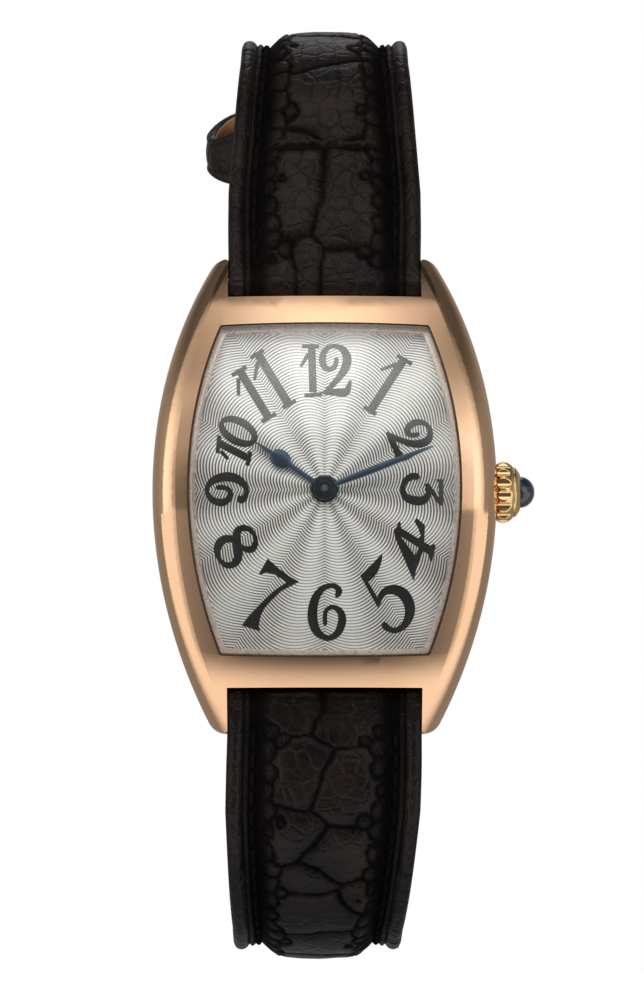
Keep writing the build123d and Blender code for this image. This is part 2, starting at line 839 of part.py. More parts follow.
def make_battery_clip():
    high = battery_back_depth - seat_clearance
    low = high - clip_thickness
    arm_end = battery_x - battery_radius / 2
    strip = block(arm_end, board_left_x - part_gap, low, high,
                  battery_z - clip_width / 2, battery_z + clip_width / 2)
    window = block(arm_end + clip_width / 2, battery_x + battery_radius / 2, low - overrun,
                   high + overrun, battery_z - clip_width / 4, battery_z + clip_width / 4)
    return strip - window


def make_coil():
    winding = rod(coil_radius, -coil_length / 2, coil_length / 2, -coil_depth, coil_z)
    reach = coil_length / 2 + coil_end
    core = block(-reach, reach, coil_depth - coil_core / 2, coil_depth + coil_core / 2,
                 coil_z - coil_core, coil_z + coil_core)
    return winding + core


def make_stator():
    low = coil_depth + coil_core / 2
    plate = slab(stator_outline(), low, low + stator_thickness)
    plate = plate - disc(rotor_magnet_radius + stator_gap, 0, case_front_depth, rotor_x, rotor_z)
    pinion_room = wheel_reach(intermediate_pinion_teeth, wheel_module)
    return plate - disc(pinion_room, 0, case_front_depth, intermediate_x, intermediate_z)


def make_center_wheel():
    wheel = gear(centre_wheel_teeth, wheel_module, centre_wheel_depth,
                 centre_wheel_depth + wheel_thickness)
    top = minute_hand_depth + minute_hand_thickness - 3 * arbor_gap
    return wheel + disc(arbor_radius, bridge_back_depth, top)


def make_third_wheel():
    phase = mesh_phase(0.0, centre_wheel_teeth, third_pinion_teeth, third_wheel_angle)
    pinion = gear(third_pinion_teeth, wheel_module, centre_wheel_depth,
                  third_wheel_depth, third_x, third_z, phase)
    wheel = gear(third_wheel_teeth, wheel_module, third_wheel_depth,
                 third_wheel_depth + wheel_thickness, third_x, third_z)
    arbor = disc(arbor_radius, bridge_back_depth, train_pocket_depth, third_x, third_z)
    return wheel + pinion + arbor


def make_intermediate_wheel():
    phase = mesh_phase(0.0, third_wheel_teeth, intermediate_pinion_teeth, intermediate_angle)
    pinion = gear(intermediate_pinion_teeth, wheel_module, centre_wheel_depth,
                  third_wheel_depth + wheel_thickness, intermediate_x, intermediate_z, phase)
    wheel = gear(intermediate_teeth, rotor_module, centre_wheel_depth,
                 centre_wheel_depth + wheel_thickness, intermediate_x, intermediate_z)
    arbor = disc(arbor_radius, bridge_back_depth, train_pocket_depth, intermediate_x, intermediate_z)
    return wheel + pinion + arbor


def make_rotor():
    phase = mesh_phase(0.0, intermediate_teeth, rotor_pinion_teeth, rotor_angle)
    pinion = gear(rotor_pinion_teeth, rotor_module, centre_wheel_depth,
                  rotor_magnet_depth, rotor_x, rotor_z, phase)
    magnet = disc(rotor_magnet_radius, rotor_magnet_depth,
                  rotor_magnet_depth + rotor_magnet_height, rotor_x, rotor_z)
    arbor = disc(arbor_radius / 2, bridge_back_depth, train_pocket_depth, rotor_x, rotor_z)
    return magnet + pinion + arbor


def make_circuit_board():
    width = board_right_x - board_left_x
    height = board_high_z - board_low_z
    centre = Pos((board_left_x + board_right_x) / 2, (board_low_z + board_high_z) / 2)
    outline = centre * RectangleRounded(width, height, board_corner)
    return slab(outline, board_back_depth, board_back_depth + board_thickness)


def make_quartz_crystal():
    plane = Plane(origin=(can_x, -can_depth, can_low_z), x_dir=(1, 0, 0), z_dir=(0, 0, 1))
    return extrude(plane * Circle(can_radius), amount=can_length)


# Crown and stem

crown_ring_start = crown_inner_x + crown_flange
crown_ring_end = crown_ring_start + crown_ring
crown_cone_end = crown_ring_end + crown_cone
crown_bore_end = crown_inner_x + crown_bore_depth
stem_end_x = crown_ring_end - crown_flange
crown_axis = Axis((0, -stem_depth, 0), (1, 0, 0))


def turned_profile(edges):
    """A solid turned about the stem, from edges drawn in x and distance from the axis."""
    return revolve(Plane(origin=(0, -stem_depth, 0), x_dir=(1, 0, 0), z_dir=(0, -1, 0))
                   * make_face(edges), crown_axis, 360)


def make_crown():
    ring_middle = (crown_ring_start + crown_ring_end) / 2
    shoulder = crown_radius - crown_ring_barrel
    outline = [Line((crown_inner_x, 0), (crown_inner_x, crown_flange_radius)),
               Line((crown_inner_x, crown_flange_radius), (crown_ring_start, shoulder)),
               ThreePointArc((crown_ring_start, shoulder), (ring_middle, crown_radius),
                             (crown_ring_end, shoulder)),
               Line((crown_ring_end, shoulder), (crown_cone_end, crown_cone_radius)),
               Line((crown_cone_end, crown_cone_radius), (crown_cone_end, 0)),
               Line((crown_cone_end, 0), (crown_inner_x, 0))]
    body = turned_profile([item.edge() for item in outline])
    flute_centre = crown_radius + crown_flute_radius - crown_flute_bite
    flute_margin = crown_flange / 3
    for index in range(crown_flutes):
        angle = radians(360.0 * index / crown_flutes)
        body = body - rod(crown_flute_radius, crown_ring_start - flute_margin,
                          crown_ring_end + flute_margin,
                          -stem_depth + flute_centre * cos(angle), flute_centre * sin(angle))
    body = body - rod(crown_bore_radius, crown_inner_x - overrun, crown_bore_end, -stem_depth, 0)
    body = body - rod(stem_thread_radius + press_gap, crown_inner_x, stem_end_x + press_gap,
                      -stem_depth, 0)
    seat_start = crown_cone_end - cabochon_seat
    return body - rod(cabochon_radius + cabochon_seat_gap, seat_start, case_width, -stem_depth, 0)


def make_crown_cabochon():
    """A rounded bullet of stone with a tiny flat at its tip, on a short cylinder in the crown's end."""
    seat_start = crown_cone_end - cabochon_seat + cabochon_seat_gap
    tip_x = crown_cone_end + cabochon_height
    middle = (crown_cone_end + cabochon_height * sin(pi / 4), cabochon_radius * cos(pi / 4))
    outline = [Line((seat_start, 0), (seat_start, cabochon_radius)),
               Line((seat_start, cabochon_radius), (crown_cone_end, cabochon_radius)),
               ThreePointArc((crown_cone_end, cabochon_radius), middle, (tip_x, cabochon_tip_flat)),
               Line((tip_x, cabochon_tip_flat), (tip_x, 0)),
               Line((tip_x, 0), (seat_start, 0))]
    return turned_profile([item.edge() for item in outline])


def make_crown_tube():
    inner_x = opening_half_width - cavity_inset + seat_clearance
    outer_x = crown_bore_end - tube_end_gap
    tube = rod(tube_outer_radius, inner_x, outer_x, -stem_depth, 0)
    return tube - rod(tube_inner_radius, 0, case_width, -stem_depth, 0)


def make_crown_gasket():
    end = crown_bore_end - crown_gasket_setback
    ring = rod(crown_bore_radius - press_gap, end - crown_gasket_length, end, -stem_depth, 0)
    return ring - rod(tube_outer_radius + crown_gasket_gap, 0, case_width, -stem_depth, 0)


def make_winding_stem():
    stem = rod(stem_radius, stem_inner_x + stem_pilot_length, crown_bore_end, -stem_depth, 0)
    stem = stem + rod(stem_pilot_radius, stem_inner_x, stem_end_x, -stem_depth, 0)
    stem = stem + rod(stem_thread_radius, crown_bore_end, stem_end_x, -stem_depth, 0)
    groove_low = stem_groove_x - stem_groove_width / 2
    groove_high = stem_groove_x + stem_groove_width / 2
    groove = rod(stem_radius + overrun, groove_low, groove_high, -stem_depth, 0)
    groove = groove - rod(stem_groove_radius, groove_low, groove_high, -stem_depth, 0)
    return stem - groove


def make_sliding_pinion():
    body = rod(pinion_radius, pinion_start_x, pinion_start_x + pinion_length, -stem_depth, 0)
    return body - rod(stem_radius + pinion_bore_gap, 0, case_width, -stem_depth, 0)


def make_setting_lever():
    plate = block(stem_groove_x - lever_width / 2, stem_groove_x + lever_width / 2, lever_depth,
                  lever_depth + lever_thickness, -lever_length / 2, lever_length / 2)
    finger_tip = stem_depth - stem_groove_radius - seat_clearance
    finger = block(stem_groove_x - lever_finger / 2, stem_groove_x + lever_finger / 2, lever_depth,
                   finger_tip, -stem_groove_radius, stem_groove_radius)
    return plate + finger


# Strap

def route(heading, steps):
    """Straight runs and arcs in the Y-Z plane, from the spring bar, as (run, bend, turn) pieces."""
    y, z = -bar_depth, bar_z
    pieces = []
    for run, radius, turn in steps:
        pieces.append((y, z, heading, run, radius, turn))
        if radius == 0:
            y += run * cos(radians(heading))
            z += run * sin(radians(heading))
        else:
            y, z = arc_end(y, z, heading, radius, turn)
            heading += turn
    return pieces


def arc_end(y, z, heading, radius, turn):
    swing = 1 if turn > 0 else -1
    centre_y = y - swing * radius * sin(radians(heading))
    centre_z = z + swing * radius * cos(radians(heading))
    return (centre_y + swing * radius * sin(radians(heading + turn)),
            centre_z - swing * radius * cos(radians(heading + turn)))


def bend(radius, turn):
    """One arc of a strap's route: its length follows from its radius and turn."""
    return radius * radians(abs(turn)), radius, turn


def route_length(pieces):
    return sum(piece[3] for piece in pieces)


def place_at(pieces, distance):
    """The point and heading at a distance along a route."""
    left = distance
    for index, (y, z, heading, run, radius, turn) in enumerate(pieces):
        if left <= run or index == len(pieces) - 1:
            break
        left -= run
    if radius == 0:
        return y + left * cos(radians(heading)), z + left * sin(radians(heading)), heading
    part_turn = turn * left / run
    end_y, end_z = arc_end(y, z, heading, radius, part_turn) if left > 0 else (y, z)
    return end_y, end_z, heading + part_turn


upper_heading = 90.0 - strap_lean
top_start_heading = 8.0
top_end_heading = -6.0
back_end_heading = -62.0
upper_route = route(upper_heading, [
    (strap_rise, 0, 0),
    bend(strap_front_bend, top_start_heading - upper_heading),
    bend(strap_top_bend, top_end_heading - top_start_heading),
    bend(strap_back_bend, back_end_heading - top_end_heading),
    (strap_back_run, 0, 0),
    bend(strap_back_sweep, -90.0 - back_end_heading),
    (strap_buckle_run, 0, 0)])

# The lower half is drawn as if it rose from the upper bar, then mirrored in Z.
lower_heading = 90.0 - strap_lower_lean
tail_heading = strap_tail_flare - 90.0
lower_route = route(lower_heading, [
    (strap_drop, 0, 0),
    bend(strap_bottom_bend, -lower_heading),
    bend(strap_tail_bend, tail_heading),
    (strap_tail_run, 0, 0)])

upper_length = route_length(upper_route)
lower_length = route_length(lower_route)


def mix(first, last, share):
    share = min(1.0, max(0.0, share))
    return first + (last - first) * share


def eased(share):
    share = min(1.0, max(0.0, share))
    return share * share * (3 - 2 * share)


def strap_width(distance, length):
    if distance < strap_taper_start:
        return mix(strap_lug_width, strap_full_width, eased(distance / strap_flare_run))
    if distance < strap_taper_end:
        share = (distance - strap_taper_start) / (strap_taper_end - strap_taper_start)
        return mix(strap_full_width, strap_bend_width, share)
    return mix(strap_bend_width, strap_end_width, (distance - strap_taper_end) / (length - strap_taper_end))


def strap_fall(distance, length):
    """How far the padding has thinned out towards the strap's free end, from 0 to 1."""
    return eased((distance - strap_pad_hold) / (length - strap_pad_hold))


def strap_top(distance, length):
    rise = mix(strap_lug_half, strap_pad_height, eased(distance / strap_pad_run))
    return mix(rise, strap_end_height, strap_fall(distance, length))


def strap_edge(distance, length):
    rise = mix(strap_lug_edge, strap_edge_height, eased(distance / strap_pad_run))
    return mix(rise, strap_end_edge_height, strap_fall(distance, length))


def across(pieces, distance, out=0.0):
    """A plane across the strap: its x runs along X and its y points out of the loop."""
    y, z, heading = place_at(pieces, distance)
    out_y, out_z = -sin(radians(heading)), cos(radians(heading))
    origin = (0, y + out * out_y, z + out * out_z)
    return Plane(origin=origin, x_dir=(-1, 0, 0),
                 z_dir=(0, cos(radians(heading)), sin(radians(heading))))


def leather_section(pieces, distance, length):
    half = strap_width(distance, length) / 2
    low = -strap_lining_level
    edge = strap_edge(distance, length)
    top = strap_top(distance, length)
    turn = strap_edge_round
    bevel = turn * (1 - cos(pi / 4))
    inner = half - strap_stitch_inset
    right_round = ThreePointArc((half, edge - turn), (half - bevel, edge - bevel), (half - turn, edge))
    left_round = ThreePointArc((turn - half, edge), (bevel - half, edge - bevel), (-half, edge - turn))
    pad = ThreePointArc((inner, edge), (0, top), (-inner, edge))
    edges = [Line((-half, low), (half, low)).edge(),
             Line((half, low), (half, edge - turn)).edge(),
             right_round.edge(),
             Line((half - turn, edge), (inner, edge)).edge(),
             pad.edge(),
             Line((-inner, edge), (turn - half, edge)).edge(),
             left_round.edge(),
             Line((-half, edge - turn), (-half, low)).edge()]
    return across(pieces, distance) * make_face(edges)


def lining_section(pieces, distance, length):
    half = strap_width(distance, length) / 2 - strap_lining_inset
    low = -strap_lining_level - strap_lining_thickness
    high = -strap_lining_level - strap_layer_gap
    plane = across(pieces, distance, (low + high) / 2)
    return plane * Rectangle(2 * half, high - low)


def stations(pieces, start, end):
    """Places along a strap, closer together where its route bends."""
    places = [start]
    travelled = 0.0
    for y, z, heading, run, radius, turn in pieces:
        count = max(ceil(run / strap_station), ceil(abs(turn) / strap_turn_step))
        places += [travelled + run * (index + 1) / count for index in range(count)]
        travelled += run
    margin = strap_station / 4
    inner = [place for place in places if start + margin < place < end - margin]
    return [start] + inner + [end]


def strap_band(section, pieces, start, end, length):
    return loft([section(pieces, distance, length) for distance in stations(pieces, start, end)],
                ruled=True)


def strap_rod(pieces, distance, radius, half_width):
    y, z, heading = place_at(pieces, distance)
    return rod(radius, -half_width, half_width, y, z)


def punch(pieces, distance, radius):
    """A round hole straight through the strap."""
    y, z, heading = place_at(pieces, distance)
    out = (0, -sin(radians(heading)), cos(radians(heading)))
    depth = strap_pad_height + strap_lining_thickness + overrun
    plane = Plane(origin=(0, y - depth * out[1], z - depth * out[2]), x_dir=(1, 0, 0), z_dir=out)
    return extrude(plane * Circle(radius), amount=2 * depth)


def slot_block(pieces, start, end, width, low, high):
    """A box along a straight stretch of the strap, between two levels of its thickness."""
    middle = (start + end) / 2
    plane = across(pieces, middle, (low + high) / 2)
    box = Box(width, high - low, end - start)
    return plane.location * box


def upper_tang_slot():
    reach = strap_pad_height + overrun
    return slot_block(upper_route, upper_length - tang_slot_length, upper_length + 2 * buckle_end_round,
                      tang_slot_width, -reach, reach)


def make_strap_upper_leather():
    body = strap_band(leather_section, upper_route, 0.0, upper_length, upper_length)
    body = body + strap_rod(upper_route, 0.0, strap_bar_round, strap_lug_width / 2)
    body = body + strap_rod(upper_route, upper_length, buckle_end_round, strap_end_width / 2)
    body = body - strap_rod(upper_route, 0.0, spring_bar_radius + spring_bar_gap, case_width)
    body = body - strap_rod(upper_route, upper_length, buckle_bar_radius + buckle_bar_gap, case_width)
    return body - upper_tang_slot()


def make_strap_upper_lining():
    end = upper_length - strap_lining_start
    body = strap_band(lining_section, upper_route, strap_lining_start, end, upper_length)
    return body - upper_tang_slot()


def mirrored_in_z(solid):
    return mirror(solid, about=Plane.XY)


def tail_trim():
    """The block outside the rounded point of the tail, cut away from both layers."""
    start = lower_length - tail_tip_length
    reach = strap_pad_height + overrun
    y, z, heading = place_at(lower_route, start)
    half = strap_width(start, lower_length) / 2
    out = (0, -sin(radians(heading)), cos(radians(heading)))
    plane = Plane(origin=(0, y - reach * out[1], z - reach * out[2]), x_dir=(1, 0, 0), z_dir=out)
    along = -1 if plane.y_dir.Z * sin(radians(heading)) < 0 else 1
    tip = along * tail_tip_length
    belly = tip * tail_belly_share
    belly_half = half * tail_belly_width_share
    right = ThreePointArc((half, 0), (belly_half, belly), (tail_tip_width / 2, tip))
    left = ThreePointArc((-tail_tip_width / 2, tip), (-belly_half, belly), (-half, 0))
    nose = ThreePointArc((tail_tip_width / 2, tip), (0, tip + along * tail_nose), (-tail_tip_width / 2, tip))
    keep = make_face([right.edge(), nose.edge(), left.edge(), Line((-half, 0), (half, 0)).edge()])
    field = Pos(0, along * tail_tip_length) * Rectangle(4 * half, 2 * tail_tip_length)
    return extrude(plane * (field - keep), amount=2 * reach)


def hole_places():
    return [lower_length - tail_first_hole - index * tail_hole_pitch for index in range(tail_hole_count)]


def make_strap_lower_leather():
    body = strap_band(leather_section, lower_route, 0.0, lower_length, lower_length)
    body = body + strap_rod(lower_route, 0.0, strap_bar_round, strap_lug_width / 2)
    body = body - strap_rod(lower_route, 0.0, spring_bar_radius + spring_bar_gap, case_width)
    body = body - tail_trim()
    for distance in hole_places():
        body = body - punch(lower_route, distance, tail_hole_radius)
    return mirrored_in_z(body)


def make_strap_lower_lining():
    body = strap_band(lining_section, lower_route, strap_lining_start, lower_length, lower_length)
    body = body - tail_trim()
    for distance in hole_places():
        body = body - punch(lower_route, distance, tail_hole_radius)
    return mirrored_in_z(body)


def make_spring_bar(z):
    half = lug_gap / 2 - spring_bar_end_gap
    reach = lug_gap / 2 + spring_tip_reach
    body = rod(spring_bar_radius, -half, half, -bar_depth, z)
    return body + rod(spring_tip_radius, -reach, reach, -bar_depth, z)


def keeper_band(plane, width, height, length):
    """A leather loop across the strap, with its inside size and its length along the strap."""
    outer = RectangleRounded(width + 2 * keeper_thickness, height + 2 * keeper_thickness,
                             keeper_thickness + keeper_corner)
    inner = RectangleRounded(width, height, keeper_corner)
    return extrude(plane * (outer - inner), amount=length / 2, both=True)


def make_fixed_keeper():
    distance = upper_length - fixed_keeper_setback
    low = -strap_lining_level - strap_lining_thickness - keeper_inner_gap
    high = strap_top(distance, upper_length) + fixed_keeper_room
    plane = across(upper_route, distance, (low + high) / 2)
    width = strap_width(distance, upper_length) + 2 * keeper_side_gap
    return keeper_band(plane, width, high - low, keeper_length)


def loose_keeper_distance():
    """How far along the strap the loose keeper lies: just past the tight bend behind the top."""
    return sum(piece[3] for piece in upper_route[:4]) + loose_keeper_offset


def make_loose_keeper():
    low = -strap_lining_level - strap_lining_thickness - loose_keeper_low_gap
    plane = across(upper_route, loose_keeper_distance(), low + loose_keeper_height / 2)
    band = keeper_band(plane, loose_keeper_width, loose_keeper_height, loose_keeper_length)
    return Pos(loose_keeper_shift, 0, 0) * band


# Buckle

buckle_y, buckle_z, buckle_heading = place_at(upper_route, upper_length)
rail_z = buckle_z - buckle_reach
buckle_inner_half = strap_end_width / 2 + buckle_side_gap
rail_y = buckle_y + buckle_arch


def arm_profile(radius):
    """The side view of one arm: a strap between the pivot boss and the outer rail."""
    run = hypot(rail_y - buckle_y, rail_z - buckle_z)
    angle = degrees(atan2(rail_z - buckle_z, rail_y - buckle_y))
    middle = ((rail_y + buckle_y) / 2, (rail_z + buckle_z) / 2)
    return Pos(*middle) * Rot(0, 0, angle) * SlotCenterToCenter(run, 2 * radius)


def make_buckle_frame():
    rail_half = buckle_inner_half + buckle_arm_width
    frame = rod(buckle_rail_radius, -rail_half, rail_half, rail_y, rail_z)
    for start in (-rail_half, buckle_inner_half):
        frame = frame + extrude(side(start) * arm_profile(buckle_arm_radius), amount=buckle_arm_width)
    pit = buckle_inner_half + spring_tip_reach + seat_clearance
    return frame - rod(spring_tip_radius + buckle_bar_gap, -pit, pit, buckle_y, buckle_z)


def make_buckle_spring_bar():
    half = buckle_inner_half - spring_bar_end_gap
    reach = buckle_inner_half + spring_tip_reach
    body = rod(buckle_bar_radius, -half, half, buckle_y, buckle_z)
    return body + rod(spring_tip_radius, -reach, reach, buckle_y, buckle_z)


def make_buckle_tang():
    """A pin that hinges on the buckle's bar and rests on the outer rail."""
    eye = rod(tang_eye_radius, -tang_width / 2, tang_width / 2, buckle_y, buckle_z)
    rest_y = rail_y + buckle_rail_radius + tang_rest_gap
    tip_z = rail_z - buckle_rail_radius - tang_overhang
    start_y = buckle_y + tang_eye_radius - tang_thickness
    outline = Polyline((start_y, buckle_z), (start_y + tang_thickness, buckle_z),
                       (rest_y + tang_thickness, rail_z), (rest_y + tang_thickness / 2, tip_z),
                       (rest_y, tip_z), (rest_y, rail_z), (start_y, buckle_z))
    pin = extrude(side(-tang_width / 2) * make_face(outline.edges()), amount=tang_width)
    tang = eye + pin
    return tang - rod(buckle_bar_radius + buckle_bar_gap, -tang_width, tang_width, buckle_y, buckle_z)


def all_nodes():
    nodes = {
        "case_middle": make_case_middle,
        "case_back": make_case_back,
        "case_back_gasket": make_back_gasket,
        "crystal": make_crystal,
        "crystal_gasket": make_crystal_gasket,
        "dial_flange": make_dial_flange,
        "dial": make_dial,
        "hour_hand": make_hour_hand,
        "minute_hand": make_minute_hand,
        "cannon_pinion": make_cannon_pinion,
        "minute_wheel": make_minute_wheel,
        "hour_wheel": make_hour_wheel,
        "movement_ring": make_movement_ring,
        "main_plate": make_main_plate,
        "train_bridge": make_train_bridge,
        "battery": make_battery,
        "battery_clip": make_battery_clip,
        "coil": make_coil,
        "stator": make_stator,
        "rotor": make_rotor,
        "center_wheel": make_center_wheel,
        "third_wheel": make_third_wheel,
        "intermediate_wheel": make_intermediate_wheel,
        "circuit_board": make_circuit_board,
        "quartz_crystal": make_quartz_crystal,
        "winding_stem": make_winding_stem,
        "sliding_pinion": make_sliding_pinion,
        "setting_lever": make_setting_lever,
        "crown": make_crown,
        "crown_cabochon": make_crown_cabochon,
        "crown_tube": make_crown_tube,
        "crown_gasket": make_crown_gasket,
        "strap_upper_leather": make_strap_upper_leather,
        "strap_upper_lining": make_strap_upper_lining,
        "strap_lower_leather": make_strap_lower_leather,
        "strap_lower_lining": make_strap_lower_lining,
        "spring_bar_upper": lambda: make_spring_bar(bar_z),
        "spring_bar_lower": lambda: make_spring_bar(-bar_z),
        "fixed_keeper": make_fixed_keeper,
        "loose_keeper": make_loose_keeper,
        "buckle_frame": make_buckle_frame,
        "buckle_spring_bar": make_buckle_spring_bar,
        "buckle_tang": make_buckle_tang,
    }
    for number, (x, z) in enumerate(screw_places(), start=1):
        nodes[f"back_screw_{number}"] = lambda x=x, z=z: make_back_screw(x, z)
    for number, (x, z) in enumerate(bridge_screw_places(), start=1):
        nodes[f"bridge_screw_{number}"] = lambda x=x, z=z: make_bridge_screw(x, z)
    return nodes


os.makedirs("parts", exist_ok=True)
for name, make in all_nodes().items():
    export_step(make(), f"parts/{name}.step")
print(f"upper strap {upper_length:.1f} mm, lower strap {lower_length:.1f} mm, "
      f"buckle pivot y {buckle_y:.2f} z {buckle_z:.2f}")
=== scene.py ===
"""A tonneau watch dressed for its studio picture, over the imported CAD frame."""
from math import ceil, cos, exp, hypot, pi, radians, sin, sqrt

import bpy
import bmesh
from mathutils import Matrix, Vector
from mathutils.noise import noise


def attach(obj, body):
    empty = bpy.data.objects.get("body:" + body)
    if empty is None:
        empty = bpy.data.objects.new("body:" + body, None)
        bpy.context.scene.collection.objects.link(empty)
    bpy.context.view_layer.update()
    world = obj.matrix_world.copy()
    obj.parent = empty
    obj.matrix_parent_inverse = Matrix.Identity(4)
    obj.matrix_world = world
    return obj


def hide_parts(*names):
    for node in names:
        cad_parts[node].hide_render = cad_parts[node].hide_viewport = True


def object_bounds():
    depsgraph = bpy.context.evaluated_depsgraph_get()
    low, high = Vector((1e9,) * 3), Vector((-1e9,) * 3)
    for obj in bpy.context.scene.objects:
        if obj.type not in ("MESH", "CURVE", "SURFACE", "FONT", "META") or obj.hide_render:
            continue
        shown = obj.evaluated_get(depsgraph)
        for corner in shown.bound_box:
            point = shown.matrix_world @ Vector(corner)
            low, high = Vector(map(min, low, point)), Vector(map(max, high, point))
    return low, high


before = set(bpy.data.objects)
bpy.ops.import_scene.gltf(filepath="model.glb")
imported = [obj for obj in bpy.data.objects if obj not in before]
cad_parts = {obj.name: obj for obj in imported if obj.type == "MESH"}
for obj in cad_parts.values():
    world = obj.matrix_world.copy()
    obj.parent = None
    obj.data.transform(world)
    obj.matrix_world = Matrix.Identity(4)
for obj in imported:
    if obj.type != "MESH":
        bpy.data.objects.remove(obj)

cad_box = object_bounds()
mm = 0.001

# Camera and picture, in millimetres and degrees.
camera_place = (-0.19, -305.41, -31.89)
camera_target = (-0.19, -7.0, -1.05)
picture_angle = 13.67
sensor_height = 24.0
clip_near, clip_far = 0.01, 20.0


def point(x, y, z):
    return Vector((x * mm, y * mm, z * mm))


def new_object(name, data):
    thing = bpy.data.objects.new(name, data)
    bpy.context.scene.collection.objects.link(thing)
    return thing


def mesh_object(name, vertices, faces):
    """A new object from vertices in millimetres."""
    mesh = bpy.data.meshes.new(name)
    mesh.from_pydata([point(*vertex) for vertex in vertices], [], faces)
    return new_object(name, mesh)


def aim(thing, place, target):
    """Puts a camera or a lamp at a place, facing a target."""
    thing.location = point(*place)
    thing.rotation_euler = (point(*target) - point(*place)).to_track_quat("-Z", "Y").to_euler()


def set_up_view():
    scene = bpy.context.scene
    scene.view_settings.view_transform = "Standard"
    lens = bpy.data.cameras.new("camera")
    lens.sensor_fit = "VERTICAL"
    lens.sensor_height = sensor_height
    lens.lens = sensor_height / 2 / sin(radians(picture_angle / 2)) * cos(radians(picture_angle / 2))
    lens.clip_start, lens.clip_end = clip_near, clip_far
    scene.camera = new_object("camera", lens)
    aim(scene.camera, camera_place, camera_target)


set_up_view()


class Nodes:
    """Short ways to add and join the nodes of one tree."""

    def __init__(self, tree):
        self.tree = tree
        tree.nodes.clear()

    def add(self, kind, **values):
        node = self.tree.nodes.new(kind)
        for key, value in values.items():
            if hasattr(node, key) and key not in node.inputs:
                setattr(node, key, value)
            else:
                node.inputs[key].default_value = value
        return node

    def link(self, source, socket):
        self.tree.links.new(source, socket)

    def maths(self, operation, *values):
        """A number node; each value is a number or the output that gives it."""
        node = self.add("ShaderNodeMath", operation=operation)
        for socket, value in zip(node.inputs, values):
            if isinstance(value, (int, float)):
                socket.default_value = value
            else:
                self.link(value, socket)
        return node.outputs[0]

    def plus(self, first, second):
        return self.maths("ADD", first, second)

    def less(self, first, second):
        return self.maths("SUBTRACT", first, second)

    def times(self, first, second):
        return self.maths("MULTIPLY", first, second)

    def absolute(self, value):
        return self.maths("ABSOLUTE", value)

    def place(self, kind="Object"):
        return self.add("ShaderNodeTexCoord").outputs[kind]

    def split(self, place):
        node = self.add("ShaderNodeSeparateXYZ")
        self.link(place, node.inputs[0])
        return tuple(node.outputs)

    def ramp(self, source, stops, interpolation="LINEAR"):
        node = self.add("ShaderNodeValToRGB")
        node.color_ramp.interpolation = interpolation
        while len(node.color_ramp.elements) < len(stops):
            node.color_ramp.elements.new(0.5)
        for element, (place, colour) in zip(node.color_ramp.elements, stops):
            element.position = place
            element.color = (*colour, 1.0)
        self.link(source, node.inputs["Fac"])
        return node.outputs["Color"]

    def span(self, source, low, high, start=0.0, end=1.0, kind="LINEAR"):
        """A change from low where the source is start to high where it is end."""
        node = self.add("ShaderNodeMapRange", interpolation_type=kind)
        for socket, value in zip(("From Min", "From Max", "To Min", "To Max"), (start, end, low, high)):
            node.inputs[socket].default_value = value
        self.link(source, node.inputs["Value"])
        return node.outputs[0]

    def step(self, source, start, end, low=0.0, high=1.0):
        """The same change, but smooth at both its ends."""
        return self.span(source, low, high, start, end, "SMOOTHSTEP")

    def mixed(self, share, first, second, end):
        """Joins to an end socket two surfaces mixed, with this share of the second."""
        node = self.add("ShaderNodeMixShader")
        for source, socket in zip((share, first, second), node.inputs):
            self.link(source, socket)
        self.link(node.outputs[0], end)


class Shader(Nodes):
    """A material made of nodes round one principled surface."""

    def __init__(self, name):
        self.material = bpy.data.materials.new(name)
        self.material.use_nodes = True
        super().__init__(self.material.node_tree)
        self.output = self.add("ShaderNodeOutputMaterial").inputs["Surface"]
        self.body = self.add("ShaderNodeBsdfPrincipled")
        self.link(self.body.outputs["BSDF"], self.output)

    def put(self, **values):
        for key, value in values.items():
            self.body.inputs[key.replace("_", " ")].default_value = value

    def feed(self, source, socket):
        self.link(source, self.body.inputs[socket])

    def noise(self, scale, detail=3.0, rough=0.5, stretch=None):
        node = self.add("ShaderNodeTexNoise", Scale=scale, Detail=detail, Roughness=rough)
        source = self.place()
        if stretch:
            mapping = self.add("ShaderNodeMapping", Scale=stretch)
            self.link(source, mapping.inputs["Vector"])
            source = mapping.outputs[0]
        self.link(source, node.inputs["Vector"])
        return node.outputs["Fac"]

    def bump(self, height, distance, strength=1.0):
        node = self.add("ShaderNodeBump", Strength=strength, Distance=distance)
        self.link(height, node.inputs["Height"])
        self.feed(node.outputs[0], "Normal")
        return node.outputs[0]


def metal(name, colour, second, roughness=(0.1, 0.16), scale=900.0, grain=None, metallic=1.0):
    """Polished or brushed metal with faint colour drift and fine marks in its roughness."""
    shader = Shader(name)
    shader.put(Metallic=metallic)
    drift = shader.noise(scale / 6, 2.0)
    shader.feed(shader.ramp(drift, [(0.35, colour), (0.65, second)]), "Base Color")
    marks = shader.noise(scale, 4.0, 0.6, grain)
    shader.feed(shader.span(marks, *roughness), "Roughness")
    return shader.material


